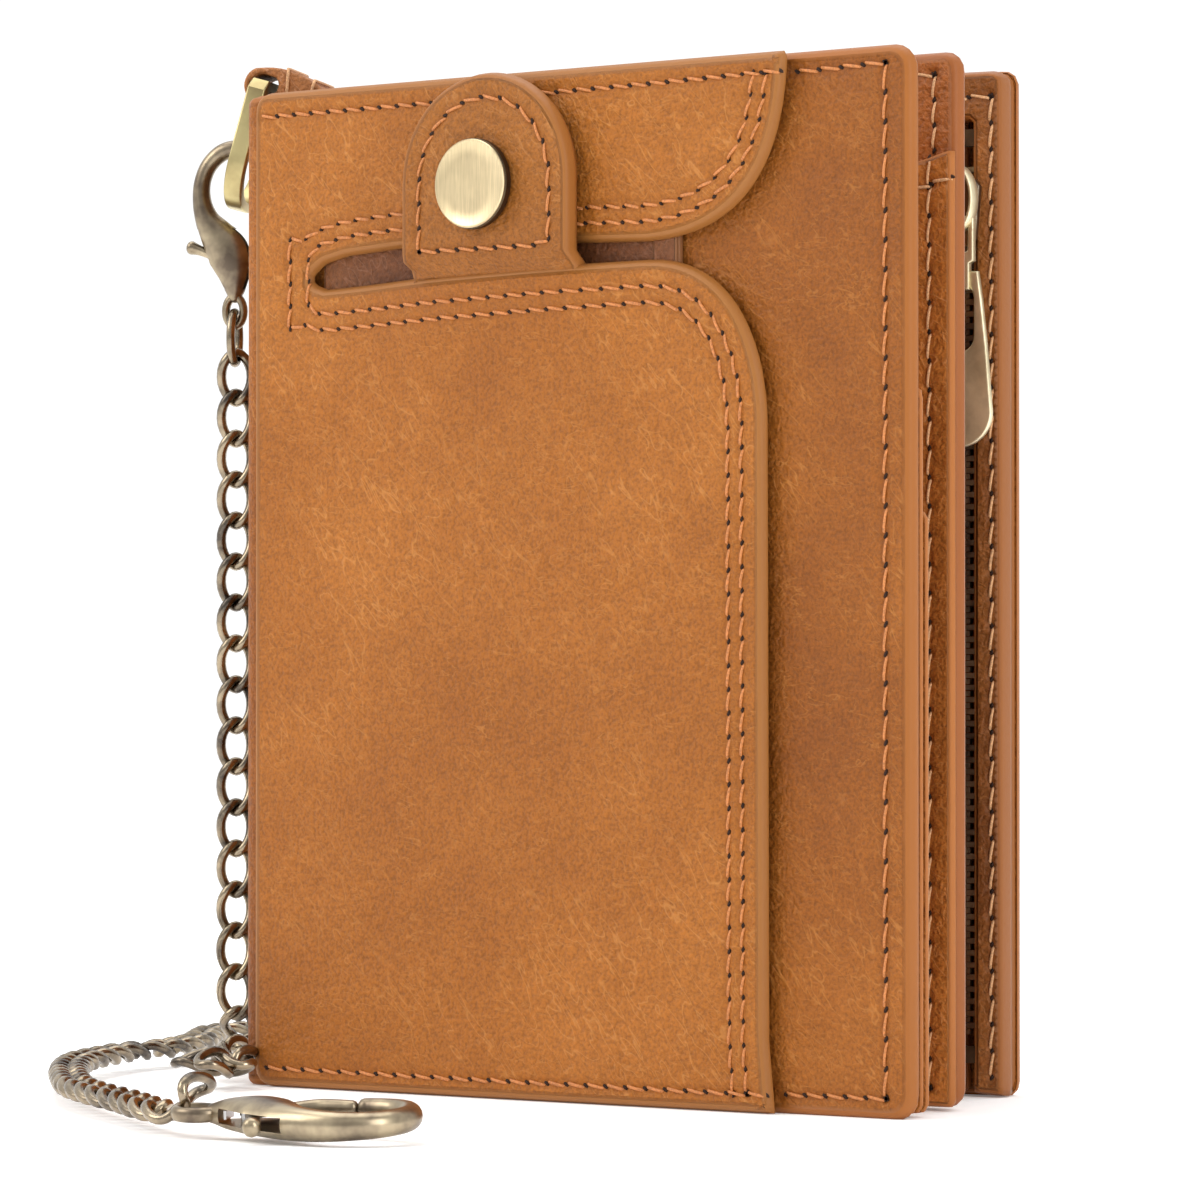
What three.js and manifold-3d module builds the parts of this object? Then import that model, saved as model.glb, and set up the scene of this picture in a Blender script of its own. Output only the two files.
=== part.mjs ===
// A leather chain wallet: two covers on a spine, a middle page, a zipped coin pocket, a snap tab
// over a card sleeve, and a curb chain with a trigger clasp at each end.
// Millimetres, +Z up. The front cover faces -Y, and the spine is at -X.
import * as THREE from 'three';
import { mergeVertices } from 'three/addons/utils/BufferGeometryUtils.js';
import Module from 'manifold-3d';

const wasm = await Module();
wasm.setup();

// ---- driving dimensions ----
const COVER_HEIGHT = 120;
const COVER_WIDTH = 96.4;
const CORNER = 3.5;
const GAP = 0.3;
const SHELL = 1.6; // shell leather
const LINING = 0.6;
const SLOT_LEATHER = 0.8; // card slots
const OVERLAY = 1.25;
const SPINE_WIDTH = 24;
const SPINE_ANGLE = 115.6; // from the front cover to the spine, in degrees
const BACK_ANGLE = 12.1; // how far the covers stand open, in degrees
const BACK_HEIGHT = 121;
const BACK_WIDTH = 96;
const PAGE_HEIGHT = 120.6;
const PAGE_WIDTH = 94;
const PAGE_ANGLE = 1.8;
const PAGE_HINGE = [-1.5, 13.7];
const CHAIN_DIAMETER = 4.7;

// The middle of the wallet's footprint, without its chain, which is the part's origin.
const FOOTPRINT_MIDDLE = [41.9, 17.1];

// ---- materials ----
const tan = { color: 0xb9783f, roughness: 0.6, metalness: 0 };
const tanDark = { color: 0x8f5a2e, roughness: 0.65, metalness: 0 };
const cloth = { color: 0x4a3424, roughness: 0.9, metalness: 0 };
const clear = { color: 0xd8dcdc, roughness: 0.15, metalness: 0 };
const brass = { color: 0xb8a468, roughness: 0.35, metalness: 1 };
const antique = { color: 0x7d6f5a, roughness: 0.4, metalness: 1 };
const steel = { color: 0x8d8d8d, roughness: 0.35, metalness: 1 };

// ---- helpers ----
const radians = (degrees) => (degrees * Math.PI) / 180;

function node(name, geometry, material, parent, position = [0, 0, 0]) {
  const mesh = new THREE.Mesh(geometry, new THREE.MeshStandardMaterial(material));
  mesh.name = name;
  mesh.position.set(...position);
  parent.add(mesh);
  return mesh;
}

function toSolid(geometry) {
  const bare = geometry.clone();
  bare.deleteAttribute('normal');
  bare.deleteAttribute('uv');
  const merged = mergeVertices(bare, 1e-4);
  const mesh = new wasm.Mesh({
    numProp: 3,
    vertProperties: new Float32Array(merged.attributes.position.array),
    triVerts: new Uint32Array(merged.index.array),
  });
  return new wasm.Manifold(mesh);
}

function toGeometry(solid) {
  const mesh = solid.getMesh();
  const geometry = new THREE.BufferGeometry();
  geometry.setAttribute('position', new THREE.BufferAttribute(new Float32Array(mesh.vertProperties), 3));
  geometry.setIndex(new THREE.BufferAttribute(new Uint32Array(mesh.triVerts), 1));
  return geometry;
}

function cut(geometry, ...tools) {
  let solid = toSolid(geometry);
  for (const tool of tools) {
    solid = solid.subtract(toSolid(tool));
  }
  return toGeometry(solid);
}

function join(geometry, ...others) {
  let solid = toSolid(geometry);
  for (const other of others) {
    solid = solid.add(toSolid(other));
  }
  return toGeometry(solid);
}

function box(x0, x1, y0, y1, z0, z1) {
  const geometry = new THREE.BoxGeometry(x1 - x0, y1 - y0, z1 - z0);
  return geometry.translate((x0 + x1) / 2, (y0 + y1) / 2, (z0 + z1) / 2);
}

// A shape drawn in X and Z, given its thickness along +Y from y0.
function plate(shape, y0, thickness, segments = 4) {
  const options = { depth: thickness, bevelEnabled: false, curveSegments: segments };
  return new THREE.ExtrudeGeometry(shape, options).rotateX(Math.PI / 2).translate(0, y0 + thickness, 0);
}

function rectangle(x0, x1, z0, z1, freeCorner = 0) {
  const shape = new THREE.Shape();
  shape.moveTo(x0, z0);
  if (freeCorner > 0) {
    shape.lineTo(x1 - freeCorner, z0);
    shape.quadraticCurveTo(x1, z0, x1, z0 + freeCorner);
    shape.lineTo(x1, z1 - freeCorner);
    shape.quadraticCurveTo(x1, z1, x1 - freeCorner, z1);
  } else {
    shape.lineTo(x1, z0);
    shape.lineTo(x1, z1);
  }
  shape.lineTo(x0, z1);
  shape.closePath();
  return shape;
}

function disc(radius, y0, y1, segments) {
  return new THREE.CylinderGeometry(radius, radius, y1 - y0, segments).translate(0, (y0 + y1) / 2, 0);
}

function turned(angle, x = 0, y = 0) {
  const group = new THREE.Group();
  group.position.set(x, y, 0);
  group.rotation.z = radians(angle);
  return group;
}

// ---- front cover, its overlay and its pockets ----
function overlayShape() {
  const shape = new THREE.Shape();
  shape.moveTo(1.6, 0.4);
  shape.lineTo(78.4, 0.4);
  shape.lineTo(77.8, 8);
  shape.lineTo(77.6, 79);
  shape.bezierCurveTo(77, 90, 71, 97.3, 61, 97.2);
  shape.lineTo(30, 96.5);
  shape.lineTo(12, 96);
  shape.quadraticCurveTo(10, 97.1, 12, 98.4);
  shape.lineTo(30, 99.6);
  shape.lineTo(61, 99.6);
  shape.bezierCurveTo(72, 100, 79.6, 105, 80.2, 119.6);
  shape.lineTo(1.6, 119.6);
  shape.closePath();
  return shape;
}

function frontCover(parent) {
  const start = 1.6;
  node('front_cover_leather', plate(rectangle(start, COVER_WIDTH, 0, COVER_HEIGHT, CORNER), 0, SHELL),
    tan, parent);
  node('front_overlay', plate(overlayShape(), -2.4, OVERLAY, 8), tan, parent);
  node('card_sleeve', plate(sleeveShape(), -0.85, 0.55), tanDark, parent);
  let y = SHELL + GAP;
  node('front_lining', plate(rectangle(2.6, COVER_WIDTH - 1, 1, COVER_HEIGHT - 1, CORNER), y, LINING),
    cloth, parent);
  y += LINING + GAP;
  const tops = [96, 82, 68];
  for (const [index, top] of tops.entries()) {
    const shape = rectangle(8, COVER_WIDTH - 1.5, 0.5, top, 1);
    node(`front_card_slot_${index + 1}`, plate(shape, y, SLOT_LEATHER), tanDark, parent);
    y += SLOT_LEATHER + GAP;
  }
}

// The sleeve holds upright cards behind the overlay, and its neck carries the snap tab.
function sleeveShape() {
  const shape = new THREE.Shape();
  shape.moveTo(11, 8);
  shape.lineTo(65, 8);
  shape.lineTo(65, 97.6);
  shape.lineTo(14, 97.6);
  shape.lineTo(11, 95);
  shape.closePath();
  return shape;
}

function snapStud(parent) {
  const stud = [39.2, -2.4 - 0.05, 106.9];
  const profile = [[0, -0.5], [1.5, -0.5], [1.5, 0], [2.6, 0], [2.6, 0.5], [0, 0.5]];
  const geometry = new THREE.LatheGeometry(profile.map(([r, y]) => new THREE.Vector2(r, y)), 16);
  node('snap_stud', geometry, brass, parent, [stud[0], stud[1] - 0.55, stud[2]]);
}

// ---- snap tab ----
function tabShape(inset) {
  const half = 12.4 - inset;
  const middle = 39.9;
  const shape = new THREE.Shape();
  shape.moveTo(middle - half, 98.2);
  shape.lineTo(middle + half, 98.2);
  shape.lineTo(middle + half, 107.4);
  shape.absarc(middle, 107.4, half, 0, Math.PI, false);
  shape.closePath();
  return shape;
}

function snapTab(parent) {
  const socketBore = disc(3.2, -10, 10, 16).translate(39.2, 0, 106.9);
  node('tab_lining', cut(plate(tabShape(0.3), -4.4, 0.6, 10), socketBore), tanDark, parent);
  node('tab_leather', plate(tabShape(0), -5.8, 1.1, 12), tan, parent);
  const capProfile = [[0, -0.9], [3.6, -0.9], [4.9, -0.65], [5.3, -0.2], [5.3, 0.45], [0, 0.45]];
  const cap = new THREE.LatheGeometry(capProfile.map(([r, y]) => new THREE.Vector2(r, y)), 28);
  node('snap_cap', cap, brass, parent, [39.2, -6.6, 106.9]);
  const ring = [[2.9, 0.45], [1.9, 0.45], [1.9, -0.45], [2.9, -0.45], [2.9, 0.45]];
  const socket = new THREE.LatheGeometry(ring.map(([r, y]) => new THREE.Vector2(r, y)), 16);
  node('snap_socket', socket, brass, parent, [39.2, -4.1, 106.9]);
}

// ---- spine, and the strap that holds the ring ----
function spine(parent) {
  const shellShape = rectangle(1.6, SPINE_WIDTH - 3, 0, COVER_HEIGHT);
  node('spine_leather', plate(shellShape, -SHELL, SHELL), tan, parent);
  const liningShape = rectangle(3, SPINE_WIDTH - 4.4, 1, COVER_HEIGHT - 1);
  node('spine_lining', plate(liningShape, -SHELL - GAP - LINING, LINING), cloth, parent);
}

// In the tether's frame X points away from the spine, and Y along it towards the front cover.
const EYE = [1.6, 122.3]; // the strap's fold, in X and Z
const RING_LEAN = 15.5;

function strap(parent) {
  const shape = new THREE.Shape();
  shape.moveTo(-2.8, 108);
  shape.lineTo(-2.8, 118.6);
  shape.quadraticCurveTo(-2.7, 120.6, -0.6, 120.55);
  shape.lineTo(EYE[0] - 0.9, EYE[1] - 2.2);
  shape.absarc(EYE[0], EYE[1], 2.4, -1.95, 1.5, false);
  shape.quadraticCurveTo(-2, 125.6, -4.4, 122.6);
  shape.quadraticCurveTo(-5.3, 121.2, -5.2, 118.6);
  shape.lineTo(-5.2, 108);
  shape.closePath();
  const hollow = new THREE.Path();
  hollow.absarc(EYE[0], EYE[1], 1.62, 0, 2 * Math.PI, true);
  shape.holes.push(hollow);
  const width = 9;
  node('chain_loop_strap', plate(shape, -width / 2, width, 6), tan, parent);
}

function roundedLoop(width, height, corner) {
  const shape = new THREE.Shape();
  const w = width / 2;
  shape.moveTo(-w + corner, 0);
  shape.lineTo(w - corner, 0);
  shape.absarc(w - corner, corner, corner, -Math.PI / 2, 0, false);
  shape.lineTo(w, height - 1);
  shape.quadraticCurveTo(w, height, w - 1, height);
  shape.lineTo(-w + 1, height);
  shape.quadraticCurveTo(-w, height, -w, height - 1);
  shape.lineTo(-w, corner);
  shape.absarc(-w + corner, corner, corner, Math.PI, 1.5 * Math.PI, false);
  return shape;
}

// A flat band bent into a ring: it hangs from the strap's fold and leans away from the spine.
function dRing(parent) {
  const band = 1.3;
  const width = 2.3;
  const height = 16.3;
  const outer = roundedLoop(12.6, height, 5);
  const inner = roundedLoop(12.6 - 2 * band, height - 2 * band, 5 - band);
  const hole = new THREE.Path(inner.getPoints(6).map((point) => new THREE.Vector2(point.x, point.y + band)));
  outer.holes.push(hole);
  const ring = plate(outer, -width / 2, width, 6).rotateZ(Math.PI / 2);
  ring.translate(0, 0, band / 2 - height).rotateY(radians(-RING_LEAN));
  node('d_ring', ring, brass, parent, [EYE[0], 0, EYE[1]]);
}

// ---- middle page ----
function middlePage(parent) {
  const start = 3;
  const edge = PAGE_WIDTH;
  const leather = 0.9;
  const sheet = rectangle(start, edge, 0, PAGE_HEIGHT, 2.5);
  node('page_leather_front', plate(sheet, -2 * leather, leather), tan, parent);
  node('page_leather_back', plate(sheet, leather, leather), tan, parent);
  node('page_divider', plate(rectangle(start + 2, edge - 2, 1, 112), -0.3, 0.6), cloth, parent);
  const frame = rectangle(16, 84, 10, 100, 3);
  const opening = rectangle(22, 78, 18, 92, 2);
  frame.holes.push(new THREE.Path(opening.getPoints(4)));
  node('page_window_frame', plate(frame, 2.1, 0.8), tanDark, parent);
  node('page_window', plate(rectangle(22.3, 77.7, 18.3, 91.7, 2), 2.15, 0.4), clear, parent);
  const mouth = rectangle(10, edge - 0.4, 0.6, 106, 1.5);
  node('page_card_slot_1', plate(mouth, -2.9, SLOT_LEATHER), tanDark, parent);
  const lowSlot = rectangle(10, edge - 5, 0.6, 92, 1.5);
  node('page_card_slot_2', plate(lowSlot, -4, SLOT_LEATHER), tanDark, parent);
}

// ---- back cover and its coin pocket: -Y is the inside ----
const ZIP = { x: 91.2, low: 7, high: 111, depth: 5.3 };

function backCover(parent) {
  const start = 3.2;
  let y = -SHELL;
  const shell = rectangle(start, BACK_WIDTH, 0, BACK_HEIGHT, CORNER);
  node('back_cover_leather', plate(shell, y, SHELL), tan, parent);
  y -= GAP + LINING;
  const lining = rectangle(start + 2.4, BACK_WIDTH - 1, 1, BACK_HEIGHT - 1, CORNER);
  node('back_lining', plate(lining, y, LINING), cloth, parent);
  y -= GAP + SLOT_LEATHER;
  const slot = rectangle(9, BACK_WIDTH - 1.5, 0.5, 116, 1);
  node('back_card_slot', plate(slot, y, SLOT_LEATHER), tanDark, parent);
}

function coinPocket(parent) {
  const inside = -ZIP.depth;
  node('coin_pouch', plate(rectangle(13, 84.9, 4, 112, 2), inside + 0.7, LINING), cloth, parent);
  node('coin_pocket_panel', plate(rectangle(13, ZIP.x - 2.2, 0.6, 117, 1), inside - 0.7, 1), tan, parent);
  const strip = rectangle(ZIP.x + 2.1, BACK_WIDTH - 0.4, 0.6, 119.4, 1);
  node('coin_pocket_strip', plate(strip, inside - 0.7, 1), tan, parent);
  for (const [side, name, width] of [[-1, 'left', 6], [1, 'right', 3.8]]) {
    const tapeFrom = ZIP.x + side * 1.1;
    const tapeTo = ZIP.x + side * width;
    const tape = rectangle(Math.min(tapeFrom, tapeTo), Math.max(tapeFrom, tapeTo), 3, 115);
    node(`zip_tape_${name}`, plate(tape, inside + 0.75 - 0.15, 0.5), cloth, parent);
    node(`zip_teeth_${name}`, zipTeeth(side), antique, parent);
  }
  for (const [name, low] of [['zip_top_stop', ZIP.high + 1], ['zip_bottom_stop', ZIP.low - 3]]) {
    const half = 1.6;
    const stop = box(ZIP.x - half, ZIP.x + half, inside - 0.6, inside + 0.3, low, low + 2);
    node(name, stop, antique, parent);
  }
}

// One side's teeth stand on a cord, so that the row is one piece.
function zipTeeth(side) {
  const inside = -ZIP.depth;
  const pitch = 4;
  const near = ZIP.x + side * 0.2;
  const far = ZIP.x + side * 0.85;
  const shape = new THREE.Shape();
  shape.moveTo(far, ZIP.low);
  for (let z = ZIP.low; z < ZIP.high - pitch / 2; z += pitch) {
    shape.lineTo(near, z);
    shape.lineTo(near, z + pitch / 2);
    shape.lineTo(ZIP.x + side * 0.5, z + pitch / 2);
    shape.lineTo(ZIP.x + side * 0.5, z + pitch);
  }
  shape.lineTo(far, ZIP.high);
  shape.closePath();
  return plate(shape, inside - 0.35, 0.6);
}

const SLIDER_TOP = 108;

// The slider's bridge stands off its body, and the pull's top bar passes under it.
function zipSlider(parent) {
  const half = 2;
  const front = -ZIP.depth - 1.5;
  const body = box(ZIP.x - half, ZIP.x + half, front, front + 0.75, SLIDER_TOP - 8, SLIDER_TOP);
  const bridge = box(ZIP.x - 0.5, ZIP.x + 0.5, front - 2.2, front + 0.1, SLIDER_TOP - 6.4, SLIDER_TOP - 1.4);
  const eye = box(ZIP.x - 1, ZIP.x + 1, front - 1.5, front - 0.1, SLIDER_TOP - 5.4, SLIDER_TOP - 2.2);
  node('zip_slider', cut(join(body, bridge), eye), antique, parent);
}

const PULL_HINGE = { y: -ZIP.depth - 2.3, z: SLIDER_TOP - 3.8 };

function zipPull(parent) {
  const thickness = 0.8;
  const start = PULL_HINGE.y - thickness / 2;
  const top = PULL_HINGE.z + 0.4;
  const side = 1.6;
  const stem = 0.7;
  const link = new THREE.Shape();
  link.moveTo(ZIP.x - side, top);
  link.lineTo(ZIP.x - side, top - 7.4);
  link.lineTo(ZIP.x - stem, top - 8.2);
  link.lineTo(ZIP.x - stem, top - 12);
  link.lineTo(ZIP.x + stem, top - 12);
  link.lineTo(ZIP.x + stem, top - 8.2);
  link.lineTo(ZIP.x + side, top - 7.4);
  link.lineTo(ZIP.x + side, top);
  link.closePath();
  link.holes.push(new THREE.Path(rectangle(ZIP.x - 0.95, ZIP.x + 0.95, top - 6, top - 0.8).getPoints()));
  const half = 3.9;
  const shoulder = top - 11;
  const low = shoulder - 20;
  const paddle = new THREE.Shape();
  paddle.moveTo(ZIP.x - 1.4, shoulder + 1.4);
  paddle.lineTo(ZIP.x - half + 1.2, shoulder - 5);
  paddle.lineTo(ZIP.x - half, low + half);
  paddle.absarc(ZIP.x, low + half, half, Math.PI, 2 * Math.PI, false);
  paddle.lineTo(ZIP.x + half - 1.2, shoulder - 5);
  paddle.lineTo(ZIP.x + 1.4, shoulder + 1.4);
  paddle.closePath();
  const slot = rectangle(ZIP.x - 1.3, ZIP.x + 1.3, shoulder - 8.6, shoulder - 1.4);
  paddle.holes.push(new THREE.Path(slot.getPoints()));
  const geometry = join(plate(link, start, thickness), plate(paddle, start, thickness, 6));
  node('zip_pull', geometry, antique, parent);
}

// ---- trigger clasps: X runs from the eye to the hook's end, and Y to the thumb side ----
function claspOutline() {
  const outline = [
    [18.2, -6.4], [21, -6.2], [24.4, -4.9], [26.8, -2.4], [27.5, 0.6], [26.6, 3.6], [24, 6.2],
    [20, 7.5], [15.5, 7.4], [11, 6.2], [6.5, 4], [3.6, 2.4], [2.6, 1.6],
    [2.6, -1.6], [3.6, -2.4], [6, -3.4], [9, -4.6], [11.4, -5.2],
    [11.6, -2.6], [12.6, 0.4], [14.6, 3.2], [17.4, 4.7], [20.4, 4.7], [23, 3.4], [24.5, 1.2],
    [24.6, -0.9], [23.2, -3], [20.8, -4.1], [18.2, -4.2],
  ];
  return new THREE.Shape(outline.map(([x, y]) => new THREE.Vector2(x, y)));
}

function slab(shape, thickness, segments = 4) {
  const options = { depth: thickness, bevelEnabled: false, curveSegments: segments };
  return new THREE.ExtrudeGeometry(shape, options).translate(0, 0, -thickness / 2);
}

function claspEye() {
  const shape = new THREE.Shape();
  shape.absellipse(0.4, 0, 3.1, 2.2, 0, 2 * Math.PI, false);
  return slab(shape, 2, 5);
}

function claspPin(radius, length) {
  const pin = new THREE.CylinderGeometry(radius, radius, length, 10);
  return pin.rotateX(Math.PI / 2).translate(6.6, 0, 0);
}

function claspBody() {
  const body = slab(claspOutline(), 3.8);
  const eyeHole = new THREE.CylinderGeometry(1.2, 1.2, 6, 12).scale(1.35, 1, 1).rotateX(Math.PI / 2);
  const slot = box(3.9, 13.2, -9, 9, -0.9, 0.9);
  return cut(join(body, claspEye()), eyeHole.translate(-0.1, 0, 0), slot, claspPin(1.05, 6));
}

function claspTrigger() {
  const shape = new THREE.Shape();
  const outline = [
    [5.1, -0.9], [6, -1.6], [8.4, -3.4], [11.2, -5.9], [17.2, -5.9], [17.7, -4.4], [13.4, -4.1],
    [10.8, -1.6], [10.6, 3], [11.4, 7.9], [11.2, 8.7], [9.6, 8.7], [9.2, 7.9], [8.2, 2.6], [6.6, 1.6],
    [5.2, 0.9],
  ];
  shape.setFromPoints(outline.map(([x, y]) => new THREE.Vector2(x, y)));
  return cut(slab(shape, 1.2), claspPin(1.05, 4));
}

// A leaf in the slot's blind end presses the trigger's heel.
function claspSpring() {
  return box(4.2, 4.5, -1.1, 1.1, -0.5, 0.5);
}

function clasp(prefix, parent) {
  node(`${prefix}_body`, claspBody(), antique, parent);
  node(`${prefix}_trigger`, claspTrigger(), antique, parent);
  node(`${prefix}_pin`, claspPin(0.7, 3.6), steel, parent);
  node(`${prefix}_spring`, claspSpring(), steel, parent);
}

// It stands on its eye, with its thumb side away from the spine.
function upperClasp(parent) {
  const scale = 0.785;
  const [x, y, z] = [new THREE.Vector3(1, 0, 0), new THREE.Vector3(0, 1, 0), new THREE.Vector3(0, 0, 1)];
  const group = new THREE.Group();
  group.position.set(6.2, 0, 94.5);
  group.quaternion.setFromRotationMatrix(new THREE.Matrix4().makeBasis(z, x, y));
  group.scale.set(scale, 0.9 * scale, scale);
  parent.add(group);
  clasp('upper_clasp', group);
}

// It lies on the surface with its thumb side to the front, rolled a little onto that side.
function lowerClasp(parent) {
  const scale = 0.95;
  const roll = 6;
  const place = turned(17.8, 50, -67.5);
  const group = new THREE.Group();
  group.position.z = 2.75;
  group.rotation.x = radians(180 + roll);
  group.scale.set(scale, scale, scale);
  place.add(group);
  parent.add(place);
  clasp('lower_clasp', group);
}

// ---- chain ----
// The route's points, counted from the front cover's spine edge on the surface below.
const FLOOR_HEIGHT = CHAIN_DIAMETER / 2 + 0.1;
const FLOOR_ROUTE = [
  [-10.6, 8.2, 13.4], [-10.7, 8.5, 9], [-11.8, 10.5, 5.2], [-13.7, 14.7, 3.1],
  [-16.5, 20.8], [-19.6, 30.4], [-22.9, 40.5], [-27.4, 49.6], [-34.4, 56.2], [-43.2, 57],
  [-47.2, 50.7], [-44.9, 42.4], [-39.2, 34.2], [-34.1, 26.7], [-30.1, 17.2], [-29, 9.2],
  [-25.8, 0.9], [-20.4, -9.4], [-11.8, -20.5], [-1.5, -31.5], [9.4, -42], [19.5, -49.4],
  [29.4, -55.7], [37.9, -61.7], [43.2, -66],
];

function tube(points, steps) {
  const curve = new THREE.CatmullRomCurve3(points.map((point) => new THREE.Vector3(...point)));
  const section = new THREE.Shape();
  section.absarc(0, 0, CHAIN_DIAMETER / 2, 0, 2 * Math.PI, false);
  const options = { steps, extrudePath: curve, curveSegments: 4 };
  return new THREE.ExtrudeGeometry(section, options);
}

function chain(parent, tether) {
  node('chain_hanging', tube([[6, 0, 14], [6, 0, 40], [6, 0, 64], [6, 0, 87]], 8), antique, tether);
  const route = FLOOR_ROUTE.map(([x, y, z = FLOOR_HEIGHT]) => [x, y, z]);
  node('chain_on_surface', tube(route, 32), antique, parent);
}

// An oval link stands edge-on between the clasp's eye and the chain.
function connectingLink(parent) {
  const shape = new THREE.Shape();
  shape.absellipse(0, 0, 2.4, 3.7, 0, 2 * Math.PI, false);
  const hole = new THREE.Path();
  hole.absellipse(0, 0, 1.3, 2.6, 0, 2 * Math.PI, true);
  shape.holes.push(hole);
  const link = plate(shape, -0.55, 1.1, 5).rotateZ(Math.PI / 2);
  node('connecting_link', link, antique, parent, [6.2, 0, 91.5]);
}

// ---- assembly ----
const wallet = new THREE.Group();
wallet.position.set(-FOOTPRINT_MIDDLE[0], -FOOTPRINT_MIDDLE[1], 0);

const front = turned(0);
frontCover(front);
snapStud(front);
snapTab(front);

const spineFrame = turned(SPINE_ANGLE);
spine(spineFrame);
const spineDirection = radians(SPINE_ANGLE);
const spineEnd = [SPINE_WIDTH * Math.cos(spineDirection), SPINE_WIDTH * Math.sin(spineDirection)];

const back = turned(BACK_ANGLE, ...spineEnd);
backCover(back);
coinPocket(back);
zipSlider(back);
zipPull(back);

const page = turned(PAGE_ANGLE, ...PAGE_HINGE);
middlePage(page);

const tether = turned(SPINE_ANGLE + 90, spineEnd[0] / 2, spineEnd[1] / 2);
strap(tether);
dRing(tether);
upperClasp(tether);
connectingLink(tether);

chain(wallet, tether);
lowerClasp(wallet);
wallet.add(front, spineFrame, back, page, tether);

const root = new THREE.Group();
root.add(wallet);

export default root;
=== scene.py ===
"""The looks of a leather chain wallet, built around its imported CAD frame.

Leather colours are given as light, middle, dark and painted rim, in linear RGB.

Places are in millimetres in the axes of the part's source: the front cover's spine edge is the
origin, the front cover faces -Y and the spine is at -X. A Leaf turns them into the row frame.
"""

import math

import bpy
import numpy as np
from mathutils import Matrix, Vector
from mathutils.geometry import delaunay_2d_cdt


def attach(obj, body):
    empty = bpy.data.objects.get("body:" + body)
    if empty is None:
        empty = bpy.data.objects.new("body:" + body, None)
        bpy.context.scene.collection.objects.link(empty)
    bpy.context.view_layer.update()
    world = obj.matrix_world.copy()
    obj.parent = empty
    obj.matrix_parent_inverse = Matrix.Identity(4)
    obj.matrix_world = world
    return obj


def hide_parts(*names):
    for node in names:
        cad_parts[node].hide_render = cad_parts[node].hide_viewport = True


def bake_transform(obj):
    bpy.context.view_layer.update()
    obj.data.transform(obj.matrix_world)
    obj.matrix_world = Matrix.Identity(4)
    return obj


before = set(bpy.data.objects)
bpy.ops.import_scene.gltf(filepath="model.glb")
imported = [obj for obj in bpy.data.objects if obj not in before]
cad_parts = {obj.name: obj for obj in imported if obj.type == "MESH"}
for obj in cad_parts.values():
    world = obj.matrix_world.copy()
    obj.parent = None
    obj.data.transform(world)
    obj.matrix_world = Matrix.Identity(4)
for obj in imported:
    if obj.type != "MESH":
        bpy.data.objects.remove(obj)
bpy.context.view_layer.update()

# ---- driving dimensions, as in the part's source ----
MM = 0.001
FOOTPRINT_MIDDLE = (41.9, 17.1)
COVER_HEIGHT = 120.0
COVER_WIDTH = 96.4
SPINE_WIDTH = 24.0
SPINE_ANGLE = 115.6
BACK_ANGLE = 12.1
BACK_HEIGHT = 121.0
BACK_WIDTH = 96.0
PAGE_HEIGHT = 120.6
PAGE_WIDTH = 94.0
PAGE_ANGLE = 1.8
PAGE_HINGE = (-1.5, 13.7)
SHELL = 1.6
CORNER = 2.8
BACK_CORNER = 1.5
FOLD_RADIUS = 2.2
FOLD_STEPS = 12
RING_LEAN = 15.5
EYE = (1.6, 122.3)


# ---- frames ----
def turned(x, y, degrees):
    """The point x, y turned about the origin."""
    angle = math.radians(degrees)
    return (x * math.cos(angle) - y * math.sin(angle), x * math.sin(angle) + y * math.cos(angle))


class Leaf:
    """An upright frame: x runs along the leaf, y through it and z up."""

    def __init__(self, origin, degrees):
        self.origin = origin
        self.angle = math.radians(degrees)

    def world(self, points):
        x, y, z = np.asarray(points, float).reshape(-1, 3).T
        c, s = math.cos(self.angle), math.sin(self.angle)
        wx = self.origin[0] + x * c - y * s - FOOTPRINT_MIDDLE[0]
        wy = self.origin[1] + x * s + y * c - FOOTPRINT_MIDDLE[1]
        return np.stack([wx, wy, z], 1) * MM

    def point(self, x, y, z):
        return Vector(self.world([[x, y, z]])[0])


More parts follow.
